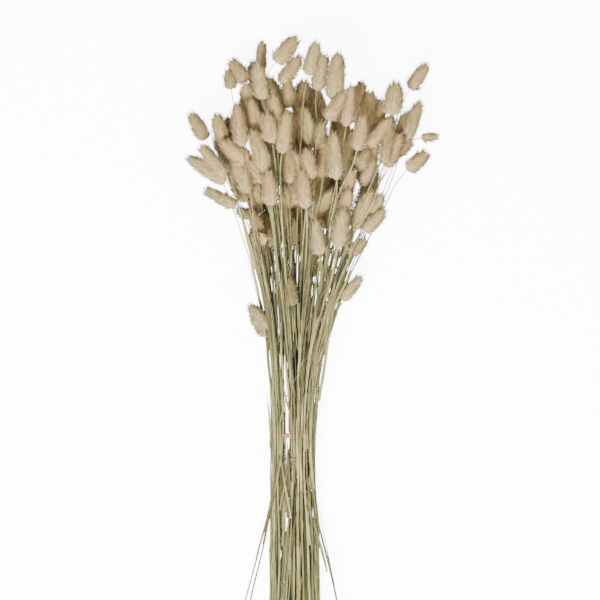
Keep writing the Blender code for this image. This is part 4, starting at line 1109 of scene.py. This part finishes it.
def grow_head(foot, tip, half, tone, dice):
    """One head: core, tufts of down and awns, as points, faces, tints and normals."""
    size = float(length(tip - foot))
    axis = (tip - foot) / size
    side, up = square_to(axis)
    core = half * CORE_SIZE

    def on_core(at, turn, sink):
        """Points on the core, the way out there, and the outline's slope."""
        out = side * np.cos(turn)[..., None] + up * np.sin(turn)[..., None]
        wide = np.interp(at, CORE_AT, CORE_OUTLINE) * core * sink
        slope = np.arctan(np.interp(at, CORE_AT, np.gradient(CORE_OUTLINE, CORE_AT)) * core / size)
        spot = foot + axis * (at * size * CORE_LENGTH)[..., None] + out * wide[..., None]
        return spot, out, np.clip(slope, *CORE_SLOPE)

    at = np.repeat(np.linspace(0.0, 1.0, CORE_RINGS), CORE_ROUND)
    turn = np.tile(2 * math.pi * np.arange(CORE_ROUND) / CORE_ROUND, CORE_RINGS)
    body, out, _ = on_core(at, turn, 1.0)
    faces = ring_faces(CORE_RINGS, CORE_ROUND)
    made = [(body, np.tile(tone * ROOT_SHADE, (len(body), 1)), out)]
    total = len(body)

    # tufts are spaced evenly over the core, on the spiral that such heads grow in
    fine = np.linspace(0.0, 1.0, 200)
    outline = np.interp(fine, CORE_AT, CORE_OUTLINE)
    share = np.cumsum(outline) / outline.sum()
    count = int(2 * math.pi * core * size * CORE_LENGTH * outline.mean() / TUFT_AREA)
    at = np.interp((np.arange(count) + 0.5) / count, share, fine)
    at = np.clip(at + dice.normal(0.0, TUFT_ASTRAY[0], count) / size, 0.0, 1.0)
    turn = np.arange(count) * 2 * math.pi * GOLDEN + dice.normal(0.0, TUFT_ASTRAY[1], count) / core
    base, out, slope = on_core(at, turn, TUFT_SINK)
    proud = dice.uniform(0.0, 1.0, count) < LONG_TUFTS
    lift = slope + TUFT_LEAN + dice.normal(0.0, LEAN_ASTRAY[0], count) + LONGER * proud
    ahead = axis * np.cos(lift)[:, None] + out * np.sin(lift)[:, None]
    ahead += np.cross(axis, out) * dice.normal(0.0, LEAN_ASTRAY[1], count)[:, None]
    ahead /= length(ahead)[:, None]
    long = np.clip(half * dice.uniform(*TUFT_LONG, count), *TUFT_LONG_MM)
    long *= np.interp(at, (0.0, 0.1, 1.0), (0.7, 1.0, 0.85))
    long *= 1.0 + LONGER * proud
    shade = dice.uniform(*TUFT_SHADE, count)
    # painted light at the foot and painted shade at the tip
    shade *= np.interp(at, (0.0, 0.25, 1.0), (PAINTED_FOOT_LIGHT, 1.0, PAINTED_TIP_SHADE))
    # painted shade on the sides and underneath of the head
    shade *= 1.0 - PAINTED_SIDE_SHADE * (1.0 - np.clip(out[:, 2], 0.0, 1.0))
    normal = axis * np.sin(-slope)[:, None] + out * np.cos(slope)[:, None]

    own = np.repeat(np.arange(count), HAIRS)
    n = len(own)
    side_t, up_t = square_to(ahead)
    spin = dice.uniform(0.0, 2 * math.pi, n)
    spread = TUFT_WIDE * np.sqrt(dice.uniform(0.0, 1.0, n))
    off = side_t[own] * (np.cos(spin) * spread)[:, None] + up_t[own] * (np.sin(spin) * spread)[:, None]
    start = base[own] + off
    reach = long[own] * dice.uniform(*HAIR_LONG, n)
    stray = dice.uniform(0.0, 1.0, n) < STRAY_HAIRS
    loose = np.where(stray, dice.uniform(*STRAY_SPREAD, n), dice.uniform(*HAIR_SPREAD, n))
    end = base[own] + ahead[own] * reach[:, None] + off * loose[:, None]
    # the foot painted cream and brighter: its own paler down, and painted light
    cream = np.interp(at, (0.0, 0.4), (CREAM_SHARE, 0.0))[:, None]
    tuft_tone = mix(tone, DOWN_CREAM * tone.mean() * CREAM_PAINTED_LIGHT / DOWN_CREAM.mean(), cream)
    hair_tone = tuft_tone[own] * (shade[own] * dice.uniform(0.9, 1.1, n))[:, None]
    p, f, t, v = spikes(start, end, HAIR_THICK, hair_tone, ROOT_SHADE, normal[own])
    made.append((p, t, v))
    faces += (f + total).tolist()
    total += len(p)

    n = int(count * AWNS)
    pick = dice.integers(0, count, n)
    lift = slope[pick] + dice.uniform(*AWN_LIFT, n)
    ahead = axis * np.cos(lift)[:, None] + out[pick] * np.sin(lift)[:, None]
    ahead += np.cross(axis, out[pick]) * dice.normal(0.0, AWN_ASTRAY, n)[:, None]
    end = base[pick] + ahead * dice.uniform(*AWN_LONG, n)[:, None]
    awn_tone = np.tile(tone * AWN_TONE, (n, 1))
    p, f, t, v = spikes(base[pick], end, AWN_THICK, awn_tone, AWN_TONE, normal[pick])
    made.append((p, t, v))
    faces += (f + total).tolist()
    points = np.concatenate([m[0] for m in made])
    points[:, 2] = np.maximum(points[:, 2], 0.05)
    return points, faces, np.concatenate([m[1] for m in made]), np.concatenate([m[2] for m in made])


def node_name(members):
    """The node that holds a single head or a pressed group."""
    return ("head_" if len(members) == 1 else "heads_") + "_".join(f"{i:02d}" for i in members)


silk = {"Roughness": 0.9, "Sheen Weight": 0.08, "Sheen Roughness": 0.5, "Specular IOR Level": 0.15}
down = streaked_tint(
    "silky down", silk, stretch=(1.0, 1.0, 1.0), scale=800.0, dark=0.66, light=1.3, bump=0.0
)

node_of = {i: node_name(members) for members in groups for i in members}
# painted shade: heads further back in the bunch are painted darker, from the pale front layer to the back one
painted_layer_tones = (DOWN_PALE, (DOWN_PALE + DOWN_TAN) / 2, DOWN_TAN, DOWN_BACK_SHADE)
slot_of = {s["node"]: s["material_slot"] for s in frame["record"]["subparts"]}
layers = head_layers()
centre = (foot + tip) / 2
for i in range(len(foot)):
    dice = np.random.default_rng(700 + i)
    node = node_of[i]
    place = float(np.clip(layers[i] + dice.normal(0.0, 0.35), 0.0, 3.0))
    tone = np.array([np.interp(place, range(4), [t[c] for t in painted_layer_tones]) for c in range(3)])
    other = DOWN_ROSY if dice.uniform() < 0.5 else DOWN_GREEN
    tone = mix(tone, other * tone.mean() / other.mean(), dice.uniform(0.0, 0.6))
    apart = centre - centre[i]
    aside = np.hypot(apart[:, 0], apart[:, 1])
    over = (aside < OVER_NEAR) & (apart[:, 2] > OVER_HIGHER)
    full = np.interp(over.sum(), OTHERS, FULLER)
    # painted light on heads deep in the bunch
    tone = tone * np.interp(over.sum(), OTHERS, PAINTED_DEEP_LIGHT)
    alone = np.interp((aside < NEAR).sum(), LONE_WITH, (1.0, 0.0))
    tone = tone * mix(1.0, LONE_TINT, alone)
    full, long = GROWN.get(i, (full, full))
    longer = (tip[i] - foot[i]) * LENGTHENING * (long - 1.0)
    p, f, t, v = grow_head(foot[i] - longer, tip[i] + longer, half[i] * full, tone, dice)
    make_piece(f"seed_head_{i:02d}", p, f, t, down, slot_of[node], [node], v)


# Low head
# One short stem's head is caught low down among the other stems, in their shade, and its down is painted
# darker for that shade. It is of the same down, and its own green stem ends a little way into it.
LOW_HEAD_PX = ((293.5, 305.5), (289.2, 275.5), (297.5, 350.0))  # its foot and tip, and its stem's low end
LOW_HEAD_HALF = 7.6
LOW_HEAD_DEPTH = 0.9  # share of the stems near it that lie deeper
# painted shade on the low head's down
LOW_HEAD_PAINTED_SHADE = 0.48
LOW_STEM_RADIUS = 0.5
LOW_STEM_REACH = 1.03  # of the way to the head's foot

foot_at, tip_at, end_at = [among_stems(px, py, LOW_HEAD_DEPTH) for px, py in LOW_HEAD_PX]
dice = np.random.default_rng(950)
p, f, t, v = grow_head(foot_at, tip_at, LOW_HEAD_HALF, DOWN_GREEN * LOW_HEAD_PAINTED_SHADE, dice)
make_piece("low_head", p, f, t, down, slot_of[node_of[0]], ["stems"], v)
route = end_at + (foot_at - end_at) * np.linspace(0.0, LOW_STEM_REACH, 8)[:, None]
p, f = tube(route, np.full(8, LOW_STEM_RADIUS), STEM_ROUND)
make_piece("low_stem", p, f, np.tile(STRAW_GREEN, (len(p), 1)), straw, "stem_straw", ["stems"])


# Floor, light and camera
# The bunch lies on a plain pale sheet under soft studio light, and the camera looks straight down on it.
FLOOR_GLOW = 9.0  # makes the sheet nearly white
LAMPS = (("key", (-0.5, -0.9, 2.0), 1.0, 236.0), ("fill", (1.2, 0.5, 1.8), 2.0, 30.0))
LAMPS_AIM = (0.0, 0.05, 0.04)
SKY = 0.85
LENS = 135.0
SENSOR = 36.0
WIDE = 600.0 * MM_PER_PX / 1000.0  # width of the picture on the bunch, in metres
WHITE = (1.0, 1.0, 1.0, 1.0)
PALE = (0.92, 0.92, 0.92, 1.0)

floor_mesh = bpy.data.meshes.new("floor")
floor_mesh.from_pydata([(-4, -4, 0), (4, -4, 0), (4, 4, 0), (-4, 4, 0)], [], [(0, 1, 2, 3)])
floor = bpy.data.objects.new("floor", floor_mesh)
bpy.context.scene.collection.objects.link(floor)
paper = new_material("pale paper", {
    "Roughness": 0.9, "Base Color": PALE, "Emission Color": WHITE, "Emission Strength": FLOOR_GLOW,
})[0]
floor_mesh.materials.append(paper)
floor.visible_diffuse = False

world = bpy.data.worlds.new("studio")
bpy.context.scene.world = world
world.use_nodes = True
sky = world.node_tree.nodes["Background"]
sky.inputs["Color"].default_value = WHITE
sky.inputs["Strength"].default_value = SKY

for name, place, size, power in LAMPS:
    lamp = bpy.data.lights.new(name, "AREA")
    lamp.size = size
    lamp.energy = power
    light = bpy.data.objects.new(name, lamp)
    light.location = place
    aim = np.array(LAMPS_AIM) - np.array(place)
    flat = math.hypot(aim[0], aim[1])
    light.rotation_euler = (math.atan2(flat, -aim[2]), 0.0, math.atan2(aim[1], aim[0]) - math.pi / 2)
    bpy.context.scene.collection.objects.link(light)

camera_data = bpy.data.cameras.new("camera")
camera_data.lens = LENS
camera_data.sensor_width = SENSOR
camera = bpy.data.objects.new("camera", camera_data)
middle = at_pixel(300.0, 300.0, FAN_HEIGHT) / 1000.0
camera.location = (middle[0], middle[1], middle[2] + WIDE * LENS / SENSOR)
bpy.context.scene.collection.objects.link(camera)
bpy.context.scene.camera = camera
